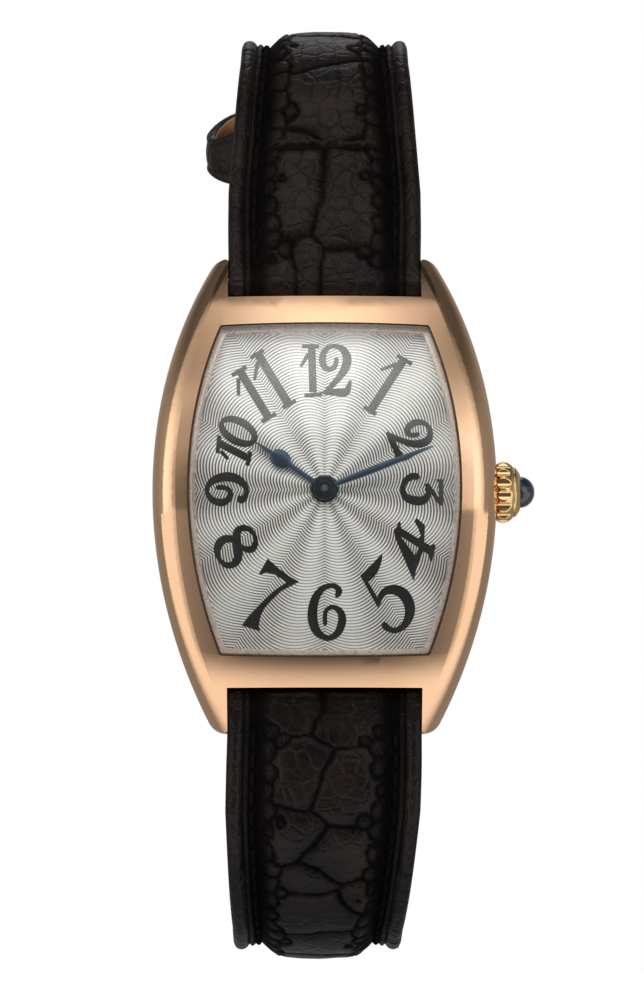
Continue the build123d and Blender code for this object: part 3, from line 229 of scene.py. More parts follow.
rose_gold = metal("rose_gold", (0.93, 0.575, 0.345), (0.95, 0.605, 0.375), (0.07, 0.10))
crown_gold = metal("crown_gold", (0.93, 0.62, 0.28), (0.96, 0.66, 0.32), (0.14, 0.22))
polished_steel = metal("polished_steel", (0.70, 0.70, 0.71), (0.76, 0.76, 0.77), (0.12, 0.22))
pin_steel = metal("pin_steel", (0.80, 0.80, 0.80), (0.86, 0.86, 0.86), (0.5, 0.6))
brushed_steel = metal("brushed_steel", (0.60, 0.60, 0.60), (0.68, 0.68, 0.68), (0.25, 0.4), 500.0, (1, 1, 30))
flange_metal = metal("flange_metal", (0.80, 0.63, 0.53), (0.88, 0.72, 0.62), (0.22, 0.34), 1500.0, None, 0.5)
dark_blue_steel = metal("dark_blue_steel", (0.014, 0.024, 0.034), (0.022, 0.034, 0.046), (0.22, 0.32))
blued_steel = metal("blued_steel", (0.065, 0.135, 0.205), (0.09, 0.17, 0.25), (0.25, 0.38))
brass = metal("brass", (0.78, 0.60, 0.30), (0.84, 0.66, 0.36), (0.2, 0.35))
copper = metal("copper", (0.80, 0.42, 0.26), (0.86, 0.48, 0.30), (0.25, 0.4), 2500.0, (1, 1, 12))


def plain(name, colour, second, roughness, scale=400.0, bump=0.0, shine=0.5):
    """Rubber, plastic, ink, thread or smooth leather, with faint drift in its colour and roughness."""
    shader = Shader(name)
    shader.put(Specular_IOR_Level=shine)
    drift = shader.noise(scale, 4.0)
    shader.feed(shader.ramp(drift, [(0.3, colour), (0.7, second)]), "Base Color")
    shader.feed(shader.span(shader.noise(scale * 2, 3.0), *roughness), "Roughness")
    if bump:
        shader.bump(shader.noise(scale * 3, 3.0), bump)
    return shader.material


gasket_rubber = plain("gasket_rubber", (0.05, 0.032, 0.022), (0.08, 0.05, 0.034), (0.5, 0.7))
holder_plastic = plain("holder_plastic", (0.72, 0.70, 0.64), (0.78, 0.76, 0.70), (0.4, 0.55))
board_green = plain("board_green", (0.03, 0.16, 0.07), (0.05, 0.22, 0.10), (0.3, 0.5))
lining_leather = plain("lining_leather", (0.16, 0.075, 0.03), (0.24, 0.12, 0.05), (0.5, 0.7), 900.0, 0.00004)
numeral_ink = plain("numeral_ink", (0.005, 0.005, 0.005), (0.009, 0.009, 0.009), (0.3, 0.4), 900.0,
                    0.000004, 0.12)
thread = plain("thread", (0.0012, 0.0012, 0.0012), (0.0035, 0.003, 0.003), (0.75, 0.95), 2500.0,
               0.00006, 0.05)


# The leather's colours, how fine its cracks and pores are, their depth in metres, and its glaze
leather_tones = [(0.35, (0.003, 0.0024, 0.0022)), (0.7, (0.011, 0.0070, 0.0056))]
# Painted shade: crease_shade_colour darkens the leather in its creases, grooves and folds
crease_shade_colour = (0.0012, 0.001, 0.001, 1.0)
crack_scale, crack_wander, crack_cap = 780.0, 0.0006, 0.12
pore_scale, pore_cap, pore_share = 3100.0, 0.2, 0.14
wrinkle_scale, wrinkle_share = 900.0, 0.16
leather_bump, leather_bump_strength = 0.00042, 0.8
glaze_weight, glaze_loss, glaze_least = 0.52, 0.60, 0.03


def scaled_leather():
    """Black glazed leather: satin scales with fine cracks, duller in the creases between them and painted
    darker there as shade.
    """
    shader = Shader("scaled_leather")
    crease = shader.add("ShaderNodeAttribute", attribute_name="crease").outputs["Fac"]
    dark = shader.add("ShaderNodeMix", data_type="RGBA")
    # Painted shade: the colour darkens towards the crease colour by the crease share
    shader.link(shader.times(crease, 0.9), dark.inputs["Factor"])
    shader.link(shader.ramp(shader.noise(260.0, 4.0, 0.6), leather_tones), dark.inputs["A"])
    dark.inputs["B"].default_value = crease_shade_colour
    shader.feed(dark.outputs["Result"], "Base Color")
    mottle = shader.span(shader.noise(1100.0, 4.0, 0.6), 0.30, 0.46)
    shader.feed(shader.plus(mottle, shader.times(crease, 0.3)), "Roughness")
    warp = shader.add("ShaderNodeMixRGB", blend_type="ADD")
    warp.inputs["Fac"].default_value = crack_wander
    shader.link(shader.place(), warp.inputs["Color1"])
    wander = shader.add("ShaderNodeTexNoise", Scale=500.0, Detail=2.0)
    shader.link(shader.place(), wander.inputs["Vector"])
    shader.link(wander.outputs["Color"], warp.inputs["Color2"])
    cracks = shader.add("ShaderNodeTexVoronoi", feature="DISTANCE_TO_EDGE", Scale=crack_scale)
    shader.link(warp.outputs["Color"], cracks.inputs["Vector"])
    valley = shader.maths("MINIMUM", cracks.outputs["Distance"], crack_cap)
    fine = shader.add("ShaderNodeTexVoronoi", feature="DISTANCE_TO_EDGE", Scale=pore_scale)
    shader.link(shader.place(), fine.inputs["Vector"])
    pores = shader.times(shader.maths("MINIMUM", fine.outputs["Distance"], pore_cap), pore_share)
    wrinkles = shader.times(shader.noise(wrinkle_scale, 5.0, 0.62), wrinkle_share)
    shader.put(Specular_IOR_Level=0.02, Coat_Roughness=0.22, Coat_IOR=1.35)
    glaze = shader.less(glaze_weight, shader.times(crease, glaze_loss))
    shader.feed(shader.maths("MAXIMUM", glaze, glaze_least), "Coat Weight")
    height = shader.plus(shader.plus(valley, pores), wrinkles)
    shader.feed(shader.bump(height, leather_bump, leather_bump_strength), "Coat Normal")
    return shader.material


black_leather = scaled_leather()


def clear_crystal():
    """Clear crystal: a faint mirror over what lies behind it, stronger where it is seen at a flat angle."""
    shader = Shader("clear_crystal")
    shader.put(Base_Color=(0.97, 0.97, 0.97, 1), Metallic=1.0, Roughness=0.02)
    edge = shader.add("ShaderNodeFresnel", IOR=1.40).outputs[0]
    haze = shader.times(shader.noise(300.0, 3.0), 0.01)
    share = shader.plus(shader.times(edge, 3.0), haze)
    shader.feed(shader.maths("MINIMUM", share, 0.45), "Alpha")
    return shader.material


def cabochon_stone():
    """The crown's dark polished stone."""
    shader = Shader("cabochon")
    drift = shader.noise(700.0, 2.0)
    shader.feed(shader.ramp(drift, [(0.3, (0.004, 0.006, 0.012)), (0.7, (0.008, 0.014, 0.03))]), "Base Color")
    shader.put(Roughness=0.05, Coat_Weight=1.0, Coat_Roughness=0.02)
    return shader.material


# Engine turning on the dial, in metres: rings about the hands, drawn out into scallops
ring_pitch = 0.00021
scallop_depth = 0.085
scallop_count = 6.0
engraving_depth = 0.00003
# Painted shade and highlight: the rings' colour runs from dark in the grooves to bright on the ridges
groove_shade_tones = [(0.05, (0.07, 0.063, 0.054)), (0.42, (0.48, 0.465, 0.43)), (0.92, (0.93, 0.93, 0.89))]

# The dial's light and dark sectors are painted sheen in its colour: a broad change and narrow streaks by
# angle
broad_sheen_share = 0.11
streak_sheen_share, streak_count, streak_shift = 0.19, 12.0, 2.1


def engine_turned_dial():
    """Silver dial cut with scalloped rings, with painted shade in the grooves, painted highlight on the
    ridges and painted sheen in light and dark sectors.
    """
    shader = Shader("engine_turned_dial")
    across, up = shader.split(shader.place())[::2]
    radius = shader.maths("SQRT", shader.plus(shader.times(across, across), shader.times(up, up)))
    angle = shader.maths("ARCTAN2", across, up)
    scallop = shader.absolute(shader.maths("SINE", shader.times(angle, scallop_count)))
    ring = shader.maths("DIVIDE", radius, shader.plus(shader.times(scallop, scallop_depth), 1.0))
    wave = shader.maths("SINE", shader.times(ring, 2 * pi / ring_pitch))
    height = shader.plus(shader.times(wave, 0.5), 0.5)
    drift = shader.span(shader.noise(240.0, 3.0), -0.08, 0.08)
    # Painted sheen: lighter and darker sectors by angle, added to the rings' colour
    lean = shader.maths("ARCTAN2", shader.absolute(across), shader.absolute(up))
    broad = shader.times(shader.maths("COSINE", shader.times(lean, 2.0)), broad_sheen_share)
    streak = shader.maths("COSINE", shader.less(shader.times(lean, streak_count), streak_shift))
    sheen = shader.plus(broad, shader.times(streak, streak_sheen_share))
    shader.feed(shader.ramp(shader.plus(shader.plus(height, drift), sheen), groove_shade_tones), "Base Color")
    shader.feed(shader.span(shader.noise(1500.0, 3.0), 0.26, 0.38), "Roughness")
    shader.put(Metallic=0.35)
    shader.bump(height, engraving_depth, 0.8)
    return shader.material


node_materials = [
    (rose_gold, "case_middle case_back buckle_frame buckle_tang"),
    (crown_gold, "crown crown_tube"),
    (cabochon_stone(), "crown_cabochon"),
    (clear_crystal(), "crystal"),
    (flange_metal, "dial_flange"),
    (engine_turned_dial(), "dial"),
    (brass, "minute_wheel hour_wheel center_wheel third_wheel intermediate_wheel main_plate"),
    (brushed_steel, "train_bridge battery stator"),
    (polished_steel, "cannon_pinion rotor battery_clip quartz_crystal winding_stem sliding_pinion "
                     "setting_lever spring_bar_upper spring_bar_lower buckle_spring_bar "
                     "back_screw_1 back_screw_2 back_screw_3 back_screw_4"),
    (blued_steel, "bridge_screw_1 bridge_screw_2 bridge_screw_3"),
    (copper, "coil"),
    (holder_plastic, "movement_ring"),
    (board_green, "circuit_board"),
    (gasket_rubber, "case_back_gasket crystal_gasket crown_gasket"),
]
for material, names in node_materials:
    for name in names.split():
        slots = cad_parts[name].data.materials
        slots.clear()
        slots.append(material)


# Mesh making, in millimetres

def make_piece(name, vertices, faces, materials, body, nodes=(), kinds=None):
    """A smooth-shaded piece from vertices in millimetres, riding on a body and standing for its nodes."""
    piece = mesh_object(name, vertices, faces)
    mesh = piece.data
    for material in materials:
        mesh.materials.append(material)
    if kinds:
        mesh.polygons.foreach_set("material_index", kinds)
    mesh.polygons.foreach_set("use_smooth", [True] * len(mesh.polygons))
    mesh.update()
    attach(piece, body)
    if nodes:
        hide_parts(*nodes)
    return piece


def ring_faces(rings, size, closed_ends=True):
    """Faces between rings of vertices that follow each other, each ring closed on itself."""
    faces = []
    for ring in range(rings - 1):
        start, after = ring * size, (ring + 1) * size
        for index in range(size):
            other = (index + 1) % size
            faces.append((start + index, start + other, after + other, after + index))
    if closed_ends:
        faces.append(tuple(range(size - 1, -1, -1)))
        faces.append(tuple(range((rings - 1) * size, rings * size)))
    return faces


def clamped(share):
    return min(1.0, max(0.0, share))


def mix(first, last, share):
    return first + (last - first) * clamped(share)


def eased(share):
    share = clamped(share)
    return share * share * (3 - 2 * share)


def bell(value, width):
    return exp(-(value / width) ** 2)


def round_rise(share):
    """The height of a half circle from its middle, at 0, to its end, at 1."""
    return sqrt(max(0.0, 1 - share * share))


def turns(steps):
    return [2 * pi * step / steps for step in range(steps)]


def ripple(x, y, z=0.0):
    return noise(Vector((x, y, z)))


# Strap routes, as in the solids: straight runs and arcs in the Y-Z plane from each spring bar

bar_depth = 0.55
bar_z = 15.8


def beside(y, z, heading, along, level):
    """The depth and height of a point along a heading from another, and out from it."""
    forward, up = cos(radians(heading)), sin(radians(heading))
    return y + along * forward - level * up, z + along * up + level * forward


def arc_end(y, z, heading, radius, turn):
    """Where an arc ends that leaves a point at this heading, in millimetres and degrees."""
    reach = radius if turn > 0 else -radius
    centre = beside(y, z, heading, 0.0, reach)
    return beside(*centre, heading + turn, 0.0, -reach)


def route(heading, steps):
    """The pieces of a route from steps of run, radius and turn; a step with no radius runs straight."""
    y, z = -bar_depth, bar_z
    pieces = []
    for run, radius, turn in steps:
        run = run if radius == 0 else radius * radians(abs(turn))
        pieces.append((y, z, heading, run, radius, turn))
        if radius == 0:
            y, z = beside(y, z, heading, run, 0.0)
        else:
            y, z = arc_end(y, z, heading, radius, turn)
            heading += turn
    return pieces


def place_at(pieces, distance):
    """The depth, height and heading of a route at a distance along it."""
    left = distance
    for index, (y, z, heading, run, radius, turn) in enumerate(pieces):
        if left <= run or index == len(pieces) - 1:
            break
        left -= run
    if radius == 0 or left < 0:
        return *beside(y, z, heading, left, 0.0), heading
    part_turn = turn * left / run
    end = arc_end(y, z, heading, radius, part_turn) if left > 0 else (y, z)
    return *end, heading + part_turn


# The heading at each spring bar and the straight runs from there, then each bend's radius and turn
upper_heading, upper_rise, upper_back_run, upper_end_run = 68.0, 14.15, 10.5, 8.0
lower_heading, lower_rise, lower_tail_run = 72.0, 6.0, 44.0
strap_front_bend = (10.5, 8.0 - 68.0)
strap_top_bend = (50.0, -6.0 - 8.0)
strap_back_bend = (5.0, -62.0 + 6.0)
strap_back_sweep = (9.0, -90.0 + 62.0)
strap_bottom_bend = (15.0, -72.0)
strap_tail_bend = (17.0, 27.5 - 90.0)
upper_route = route(upper_heading, [(upper_rise, 0, 0), (0, *strap_front_bend), (0, *strap_top_bend),
                                    (0, *strap_back_bend), (upper_back_run, 0, 0), (0, *strap_back_sweep),
                                    (upper_end_run, 0, 0)])
lower_route = route(lower_heading, [(lower_rise, 0, 0), (0, *strap_bottom_bend), (0, *strap_tail_bend),
                                    (lower_tail_run, 0, 0)])
upper_length = sum(piece[3] for piece in upper_route)
lower_length = sum(piece[3] for piece in lower_route)
tail_tip_length = 7.0
tail_tip_half = 1.6


# Widths where the strap leaves the case, at its widest, at its knee and at its end, and where they lie
lug_width, full_width, knee_width, end_width = 14.1, 14.25, 12.75, 12.0
swell_run, taper_start, taper_run = 5.0, 7.5, 12.0
knee = taper_start + taper_run
thinning_start = 30.0
lower_lean = 0.55


class StrapHalf:
    """One half of the strap: where it runs, how wide and how thick it is along its length."""

    def __init__(self, side, pieces, length, seed):
        self.side = side
        self.lower = side == "lower"
        self.body = f"strap_{side}"
        self.pieces = pieces
        self.length = length
        self.seed = seed

    def half(self, distance):
        """Half the width at a distance along the strap."""
        if distance < taper_start:
            width = mix(lug_width, full_width, eased(distance / swell_run))
        elif distance < knee:
            width = mix(full_width, knee_width, (distance - taper_start) / taper_run)
        else:
            width = mix(knee_width, end_width, (distance - knee) / (self.length - knee))
        past = distance - (self.length - tail_tip_length)
        if self.lower and past > 0:
            share = min(1.0, past / tail_tip_length)
            return tail_tip_half + (width / 2 - tail_tip_half) * round_rise(share)
        return width / 2

    def fall(self, distance):
        return eased((distance - thinning_start) / (self.length - thinning_start))

    def top(self, distance):
        """The height of the padded middle above the route."""
        return mix(mix(1.1, 2.05, eased(distance / swell_run)), 1.05, self.fall(distance))

    def edge(self, distance):
        """The height of the thin edge above the route."""
        return mix(mix(1.0, 1.3, eased(distance / swell_run)), 0.85, self.fall(distance))

    def put(self, across, distance, level):
        """A point of the strap: across it, along it and out from its route; the lower half leans a little."""
        y, z = beside(*place_at(self.pieces, distance), 0.0, level)
        if self.lower:
            across -= lower_lean * eased(distance / 24.0) * (1 - eased((distance - 30.0) / 20.0))
        return (across, y, -z if self.lower else z)

    def faces(self, rings, size):
        """The faces of a closed length of this half, turned to point out of it."""
        faces = ring_faces(rings, size)
        return faces if self.lower else [tuple(reversed(face)) for face in faces]


upper_half = StrapHalf("upper", upper_route, upper_length, 3.0)
lower_half = StrapHalf("lower", lower_route, lower_length, 11.0)

# Large scales that the picture shows: across, along, half width, half length
upper_scales = [(-0.9, 20.2, 2.9, 2.3), (0.9, 15.2, 2.7, 2.6), (-2.0, 7.3, 1.9, 3.0), (1.9, 6.0, 2.3, 3.5),
                (-1.1, 0.9, 1.0, 1.5), (2.0, 0.4, 2.4, 1.6), (-4.2, 0.4, 1.7, 1.9), (0.3, 25.4, 3.2, 2.5)]
lower_scales = [(2.2, 0.9, 2.7, 1.3), (-2.6, 0.2, 2.3, 1.2), (-1.9, 4.3, 2.0, 2.2), (2.1, 5.5, 2.6, 2.2),
                (-2.4, 8.9, 2.3, 1.6), (1.4, 10.4, 2.4, 1.9), (-0.9, 12.6, 2.1, 1.2), (-0.6, 15.7, 3.3, 2.3),
                (0.4, 20.3, 3.2, 2.2), (2.9, 14.2, 1.4, 1.6), (-0.1, 25.2, 3.2, 2.4)]


# Where the staggered rows begin on each half, the size of their scales at the start and at the end, how far
# aside they lie and how far apart; then the small scales' place in from the edge and their pitch
upper_first_row, lower_first_row = 29.6, 29.4
row_scale, row_scale_end, row_aside, row_pitch = 2.3, 1.9, 1.95, 2.1
small_inset, small_start, small_pitch = 3.1, 1.2, 1.5


def scale_seeds(half, shown, first_row):
    """All scales of a strap half: the ones shown, then two staggered rows of large ones, then small ones."""
    seeds = list(shown)
    row = first_row
    index = 0
    while row < half.length - 1.0:
        size = mix(row_scale, row_scale_end, (row - first_row) / (half.length - first_row))
        for side in (-1, 1):
            across = side * (row_aside + 0.45 * ripple(index * 1.7, half.seed + side))
            along = row + side * 0.9 + 0.7 * ripple(index * 2.3, half.seed + 5 * side)
            wide = size * (1 + 0.18 * ripple(index * 3.1, half.seed + 9 * side))
            seeds.append((across, along, wide, size * (0.95 + 0.2 * ripple(index * 1.3, half.seed - side))))
        row += row_pitch * size
        index += 1
    for side in (-1, 1):
        along = small_start
        count = 0
        while along < half.length:
            inner = half.half(along) - small_inset + 0.35 * ripple(count * 1.9, half.seed + side * 7)
            seeds.append((side * inner, along, 0.62, 0.72))
            if count % 3 != 1:
                seeds.append((side * (inner + 1.0), along + 0.5, 0.55, 0.6))
            if count % 4 == 0:
                seeds.append((side * (inner - 1.0), along + 0.7, 0.5, 0.55))
            along += small_pitch + 0.35 * ripple(count * 2.7, half.seed + side * 3)
            count += 1
    return seeds


def seed_rows(seeds, length):
    """For each millimetre along the strap, the scales near enough to shape it."""
    rows = [[] for index in range(ceil(length) + 3)]
    for seed in seeds:
        low = max(0, int(seed[1] - 2.2 * seed[3] - 1.5))
        high = min(len(rows) - 1, int(seed[1] + 2.2 * seed[3] + 2.5))
        for index in range(low, high + 1):
            rows[index].append(seed)
    return rows


broad_stray, fine_stray = 0.34, 0.10
groove_width, slope_width = 0.26, 0.75


def scale_relief(across, distance, rows, drift):
    """The crease's depth here, the rise of its scale's dome, both from 0 to 1, and the scale's reach."""
    wide = (across + broad_stray * ripple(across * 0.55, distance * 0.55, drift)
            + fine_stray * ripple(across * 2.2, distance * 2.2, drift))
    along = (distance + broad_stray * ripple(across * 0.5, distance * 0.5, drift + 20)
             + fine_stray * ripple(across * 2.0, distance * 2.0, drift + 9))
    best, second, reach = 9.0, 9.0, 1.0
    for seed in rows[min(len(rows) - 1, max(0, int(distance)))]:
        away = hypot((wide - seed[0]) / seed[2], (along - seed[1]) / seed[3])
        if away < best:
            best, second, reach = away, best, (seed[2] + seed[3]) / 2
        elif away < second:
            second = away
    gap = (second - best) * reach
    return 0.62 * bell(gap, groove_width) + 0.38 * bell(gap, slope_width), max(0.0, 1 - best * best), reach


# How far in from the strap's edge each form of its face lies, and the forms' heights
bead_width = 1.1
welt_start = 1.2
welt_end = 1.6
groove_end = 2.15
shoulder_run = 1.5
stitch_line = 1.87
bead_sink, bead_rise = 0.34, 0.44
welt_half, welt_rise, trough_run, trough_depth = 0.26, 0.2, 0.22, 0.13
face_sink, top_sink, arch_rise = 0.42, 0.30, 0.26
dome_rise, crease_depth = 0.10, 0.30
fold_place, fold_width, fold_depth = 10.6, 0.24, 0.34
ridge_ahead, ridge_width, ridge_rise = 0.42, 0.22, 0.14


# The crease share also darkens the leather's colour, as painted shade.
def leather_level(half, across, distance, rows=()):
    """The height of the strap's face above the route, and its crease share; its edges need no rows."""
    edge_room = half.half(distance) - abs(across)
    edge = half.edge(distance)
    top = half.top(distance)
    side = 1 if across > 0 else -1
    crossing = ripple(distance * 0.9, side * 4.0, half.seed)
    nick = max(0.0, ripple(distance * 1.9, side * 9.0, half.seed) - 0.22) * 0.35
    if edge_room < bead_width:
        share = (edge_room - bead_width / 2) / (bead_width / 2)
        swell = round_rise(share)
        level = edge - bead_sink + bead_rise * swell + 0.07 * crossing * swell - nick * swell
        crease = 0.5 * max(0.0, 1 - swell * 1.4) + nick * 1.5
        return level, min(1.0, crease)
    if edge_room < groove_end:
        welt = max(0.0, 1 - abs(edge_room - (welt_start + welt_end) / 2) / welt_half)
        trough = eased((edge_room - welt_end) / trough_run)
        level = edge - bead_sink + welt_rise * eased(welt) + 0.05 * crossing - trough_depth * trough
        return level, 1 - 0.6 * eased(welt)
    crease, dome, reach = scale_relief(across, distance, rows, half.seed)
    rise = eased((edge_room - groove_end) / shoulder_run)
    inner = half.half(distance) - groove_end - shoulder_run
    arch = 1 - min(1.0, abs(across) / (inner + shoulder_run)) ** 2.6
    level = mix(edge - face_sink, top - top_sink, sqrt(rise)) + arch_rise * arch
    strength = rise * eased((distance + 0.5) / 1.5)
    fringe = bell(edge_room - groove_end - 1.1, 0.8)
    small = 0.55 if reach < 0.9 else 1.0
    level += strength * (dome_rise * dome * small - crease_depth * crease * small)
    level += 0.05 * ripple(across * 0.6, distance * 0.45, half.seed + 40) * strength
    level += 0.018 * ripple(across * 4.5, distance * 4.5, half.seed) * strength
    level += 0.10 * ripple(across * 3.2, distance * 1.1, half.seed + 70) * strength * fringe
    if not half.lower:
        past_fold = distance - fold_place - 0.25 * ripple(across * 0.7, 2.0, half.seed)
        fold = bell(past_fold, fold_width)
        ridge = bell(past_fold - ridge_ahead, ridge_width) * (1 + ripple(across * 1.6, 5.0, half.seed))
        level += (ridge_rise * ridge - fold_depth * fold) * rise
        crease = min(1.0, max(crease * (1 - 0.8 * ridge), 0.9 * fold))
    return level, mix(1.0, max(0.0, crease), rise)


# The leather's mesh cell, its round ends at the spring bar and at the buckle bar, and its under face
cell = 0.165
nose_radius = 1.12
nose_reach = 1.56
buckle_end_round = 1.18
leather_low = -0.5
side_bulge, side_crease = 0.05, 0.6
side_shares = (0.35, 0.7, 1.0)
under_shares = (0.5, 0.0, -0.5)
no_limit = 9.0
nose_share, end_share = 0.995, 0.9995


def strap_leather(half, shown, first_row):
    """The padded leather of one half: its scaled face, its two sides and its under face."""
    rows = seed_rows(scale_seeds(half, shown, first_row), half.length)
    columns = ceil(full_width / cell)
    end = half.length if half.lower else half.length + buckle_end_round
    count = ceil((end + nose_radius) / cell)
    vertices, creases = [], []
    for row in range(count + 1):
        distance = -nose_reach * nose_share + (end * end_share + nose_reach * nose_share) * row / count
        width = half.half(max(0.0, distance))
        low, cap, floor_level = leather_low, no_limit, -no_limit
        if distance < nose_radius:
            nose = nose_reach if distance < 0 else nose_radius
            reach = nose_radius * round_rise(distance / nose)
            low = -reach if distance < 0 else min(leather_low, -reach)
            cap, floor_level = (reach, -no_limit) if distance < 0 else (no_limit, reach)
        past = distance - half.length
        if not half.lower and past > -buckle_end_round:
            reach = sqrt(max(0.0, buckle_end_round ** 2 - past ** 2))
            low = min(leather_low, -reach) if past < 0 else -reach
            cap, floor_level = (reach, -no_limit) if past > 0 else (no_limit, reach)
        levels = []
        for column in range(columns + 1):
            across = width * (2 * column / columns - 1)
            level, crease = leather_level(half, across, max(0.0, distance), rows)
            level = mix(half.top(0.0), level, eased((distance - 0.1) / 1.3))
            level = min(cap, max(level, floor_level * 0.98))
            levels.append((across, level))
            creases.append(crease)
        vertices += [half.put(across, distance, level) for across, level in levels]
        for share in side_shares:
            out = width + side_bulge * sin(pi * share)
            vertices.append(half.put(out, distance, mix(levels[-1][1], low, share)))
        vertices += [half.put(share * width, distance, low) for share in under_shares]
        for share in reversed(side_shares):
            out = -width - side_bulge * sin(pi * share)
            vertices.append(half.put(out, distance, mix(levels[0][1], low, share)))
        rest = 2 * len(side_shares) + len(under_shares)
        creases += [side_crease] * rest
    piece = make_piece(f"strap_{half.side}_padding", vertices, half.faces(count + 1, columns + 1 + rest),
                       [black_leather], half.body, (f"strap_{half.side}_leather",))
    share = piece.data.attributes.new("crease", "FLOAT", "POINT")
    share.data.foreach_set("value", creases)
    return piece


def cut(piece, cutters):
    """Takes closed shapes out of a piece and clears them away."""
    for cutter in cutters:
        tool = piece.modifiers.new("cut", "BOOLEAN")
        tool.operation = "DIFFERENCE"
        tool.solver = "EXACT"
        tool.object = cutter
    shape = bpy.data.meshes.new_from_object(piece.evaluated_get(bpy.context.evaluated_depsgraph_get()))
    piece.modifiers.clear()
    old = piece.data
    shape.name = old.name
    piece.data = shape
    bpy.data.meshes.remove(old)
    for cutter in cutters:
        mesh = cutter.data
        bpy.data.objects.remove(cutter)
        bpy.data.meshes.remove(mesh)


# The tang's slot from before the buckle bar to past it, and the tail's holes back from its tip
slot_before, slot_past, slot_half, slot_reach = 5.2, 2.4, 1.15, 3.0
hole_count, hole_radius, first_hole, hole_pitch, hole_steps = 5, 0.8, 17.0, 5.5, 20


def slot_cutters():
    """The buckle tang's slot through the end of the upper half."""
    rings = []
    for distance in (upper_length - slot_before, upper_length + slot_past):
        rings += [upper_half.put(across * slot_half, distance, level * slot_reach) for across, level in
                  ((-1, -1), (1, -1), (1, 1), (-1, 1))]
    return [mesh_object("cutter", rings, ring_faces(2, 4))]


def hole_cutters():
    """The holes through the tail of the lower half."""
    tools = []
    for index in range(hole_count):
        centre = lower_length - first_hole - hole_pitch * index
        rings = []
        for level in (-3.0, 4.0):
            for turn in turns(hole_steps):
                rings.append(lower_half.put(hole_radius * sin(turn), centre + hole_radius * cos(turn), level))
        tools.append(mesh_object("cutter", rings, ring_faces(2, hole_steps)))
    return tools


lining_start = 1.6
lining_inset, lining_low, lining_thick, lining_cell = 0.12, -1.3, 0.77, 0.45


def strap_lining(half):
    """The smooth lining under the leather of one half."""
    start = lining_start
    end = half.length if half.lower else half.length - start
    count = ceil((end - start) / lining_cell)
    section = [(index / 4 - 1, 1.0) for index in range(9)] + [(1.0, 0.5)]
    section += [(1.0, 0.12), (0.97, 0.0), (0.5, 0.0), (0.0, 0.0), (-0.5, 0.0), (-0.97, 0.0), (-1.0, 0.12)]
    section.append((-1.0, 0.5))
    vertices = []
    for row in range(count + 1):
        distance = start + (end - start) * row / count
        width = half.half(distance) - lining_inset
        for share, rise in section:
            sag = 0.035 * ripple(share * 3, distance * 0.5, half.seed) if rise < 0.5 else 0.0
            vertices.append(half.put(share * width, distance, lining_low + lining_thick * rise + sag))
    return make_piece(f"strap_{half.side}_backing", vertices, half.faces(count + 1, len(section)),
                      [lining_leather], half.body, (f"strap_{half.side}_lining",))


stitch_start, upper_stitch_end, lower_stitch_end = 1.6, 3.0, 2.2
stitch_pitch, stitch_length, stitch_girth, stitch_steps = 1.45, 1.3, 0.22, 7


def stitches(half, end):
    """Thread along both grooves: short tight stitches that dip into the leather at their ends."""
    last = stitch_steps - 1
    vertices, faces = [], []
    for side in (-1, 1):
        distance = stitch_start
        while distance + stitch_length < end:
            lean = 0.16 * ripple(distance * 1.3, side, half.seed)
            base = len(vertices)
            for ring in range(stitch_steps):
                share = ring / last
                along = distance + stitch_length * share
                inset = half.half(along) - stitch_line + lean * (share - 0.5)
                level = leather_level(half, side * inset, along)[0]
                level = level + 0.05 - 0.24 * (2 * share - 1) ** 4 + lean * 0.3
                girth = stitch_girth * (1.0 if 0 < ring < last else 0.55)
                for turn in turns(stitch_steps):
                    vertices.append(half.put(side * inset + girth * cos(turn), along,
                                             level + girth * sin(turn)))
            tube = ring_faces(stitch_steps, stitch_steps)
            faces += [tuple(index + base for index in face) for face in tube]
            distance += stitch_pitch
    make_piece(f"strap_{half.side}_stitching", vertices, faces, [thread], half.body)


def make_strap():
    cut(strap_leather(upper_half, upper_scales, upper_first_row), slot_cutters())
    cut(strap_leather(lower_half, lower_scales, lower_first_row), hole_cutters())
    cut(strap_lining(upper_half), slot_cutters())
    cut(strap_lining(lower_half), hole_cutters())
    stitches(upper_half, upper_length - upper_stitch_end)
    stitches(lower_half, lower_length - lower_stitch_end)


# Keepers: leather loops round the strap

keeper_corner, keeper_thick, keeper_cell = 0.7, 0.9, 0.8
keeper_back = [(-0.5, 0.12), (-0.47, 0.0), (-0.25, 0.0), (0.0, 0.0), (0.25, 0.0), (0.47, 0.0), (0.5, 0.12)]
keeper_front = [(0.51, 0.5), (0.5, 0.85), (0.45, 1.0), (0.38, 1.0), (0.34, 0.9), (0.30, 0.97), (0.15, 1.05)]
keeper_left = [(-along, rise) for along, rise in reversed(keeper_front)]
keeper_band = keeper_back + keeper_front + [(0.0, 1.08)] + keeper_left
pinch_start, pinch_run, pinch_share, pinch_shift = 5.2, 2.2, 0.46, 0.5


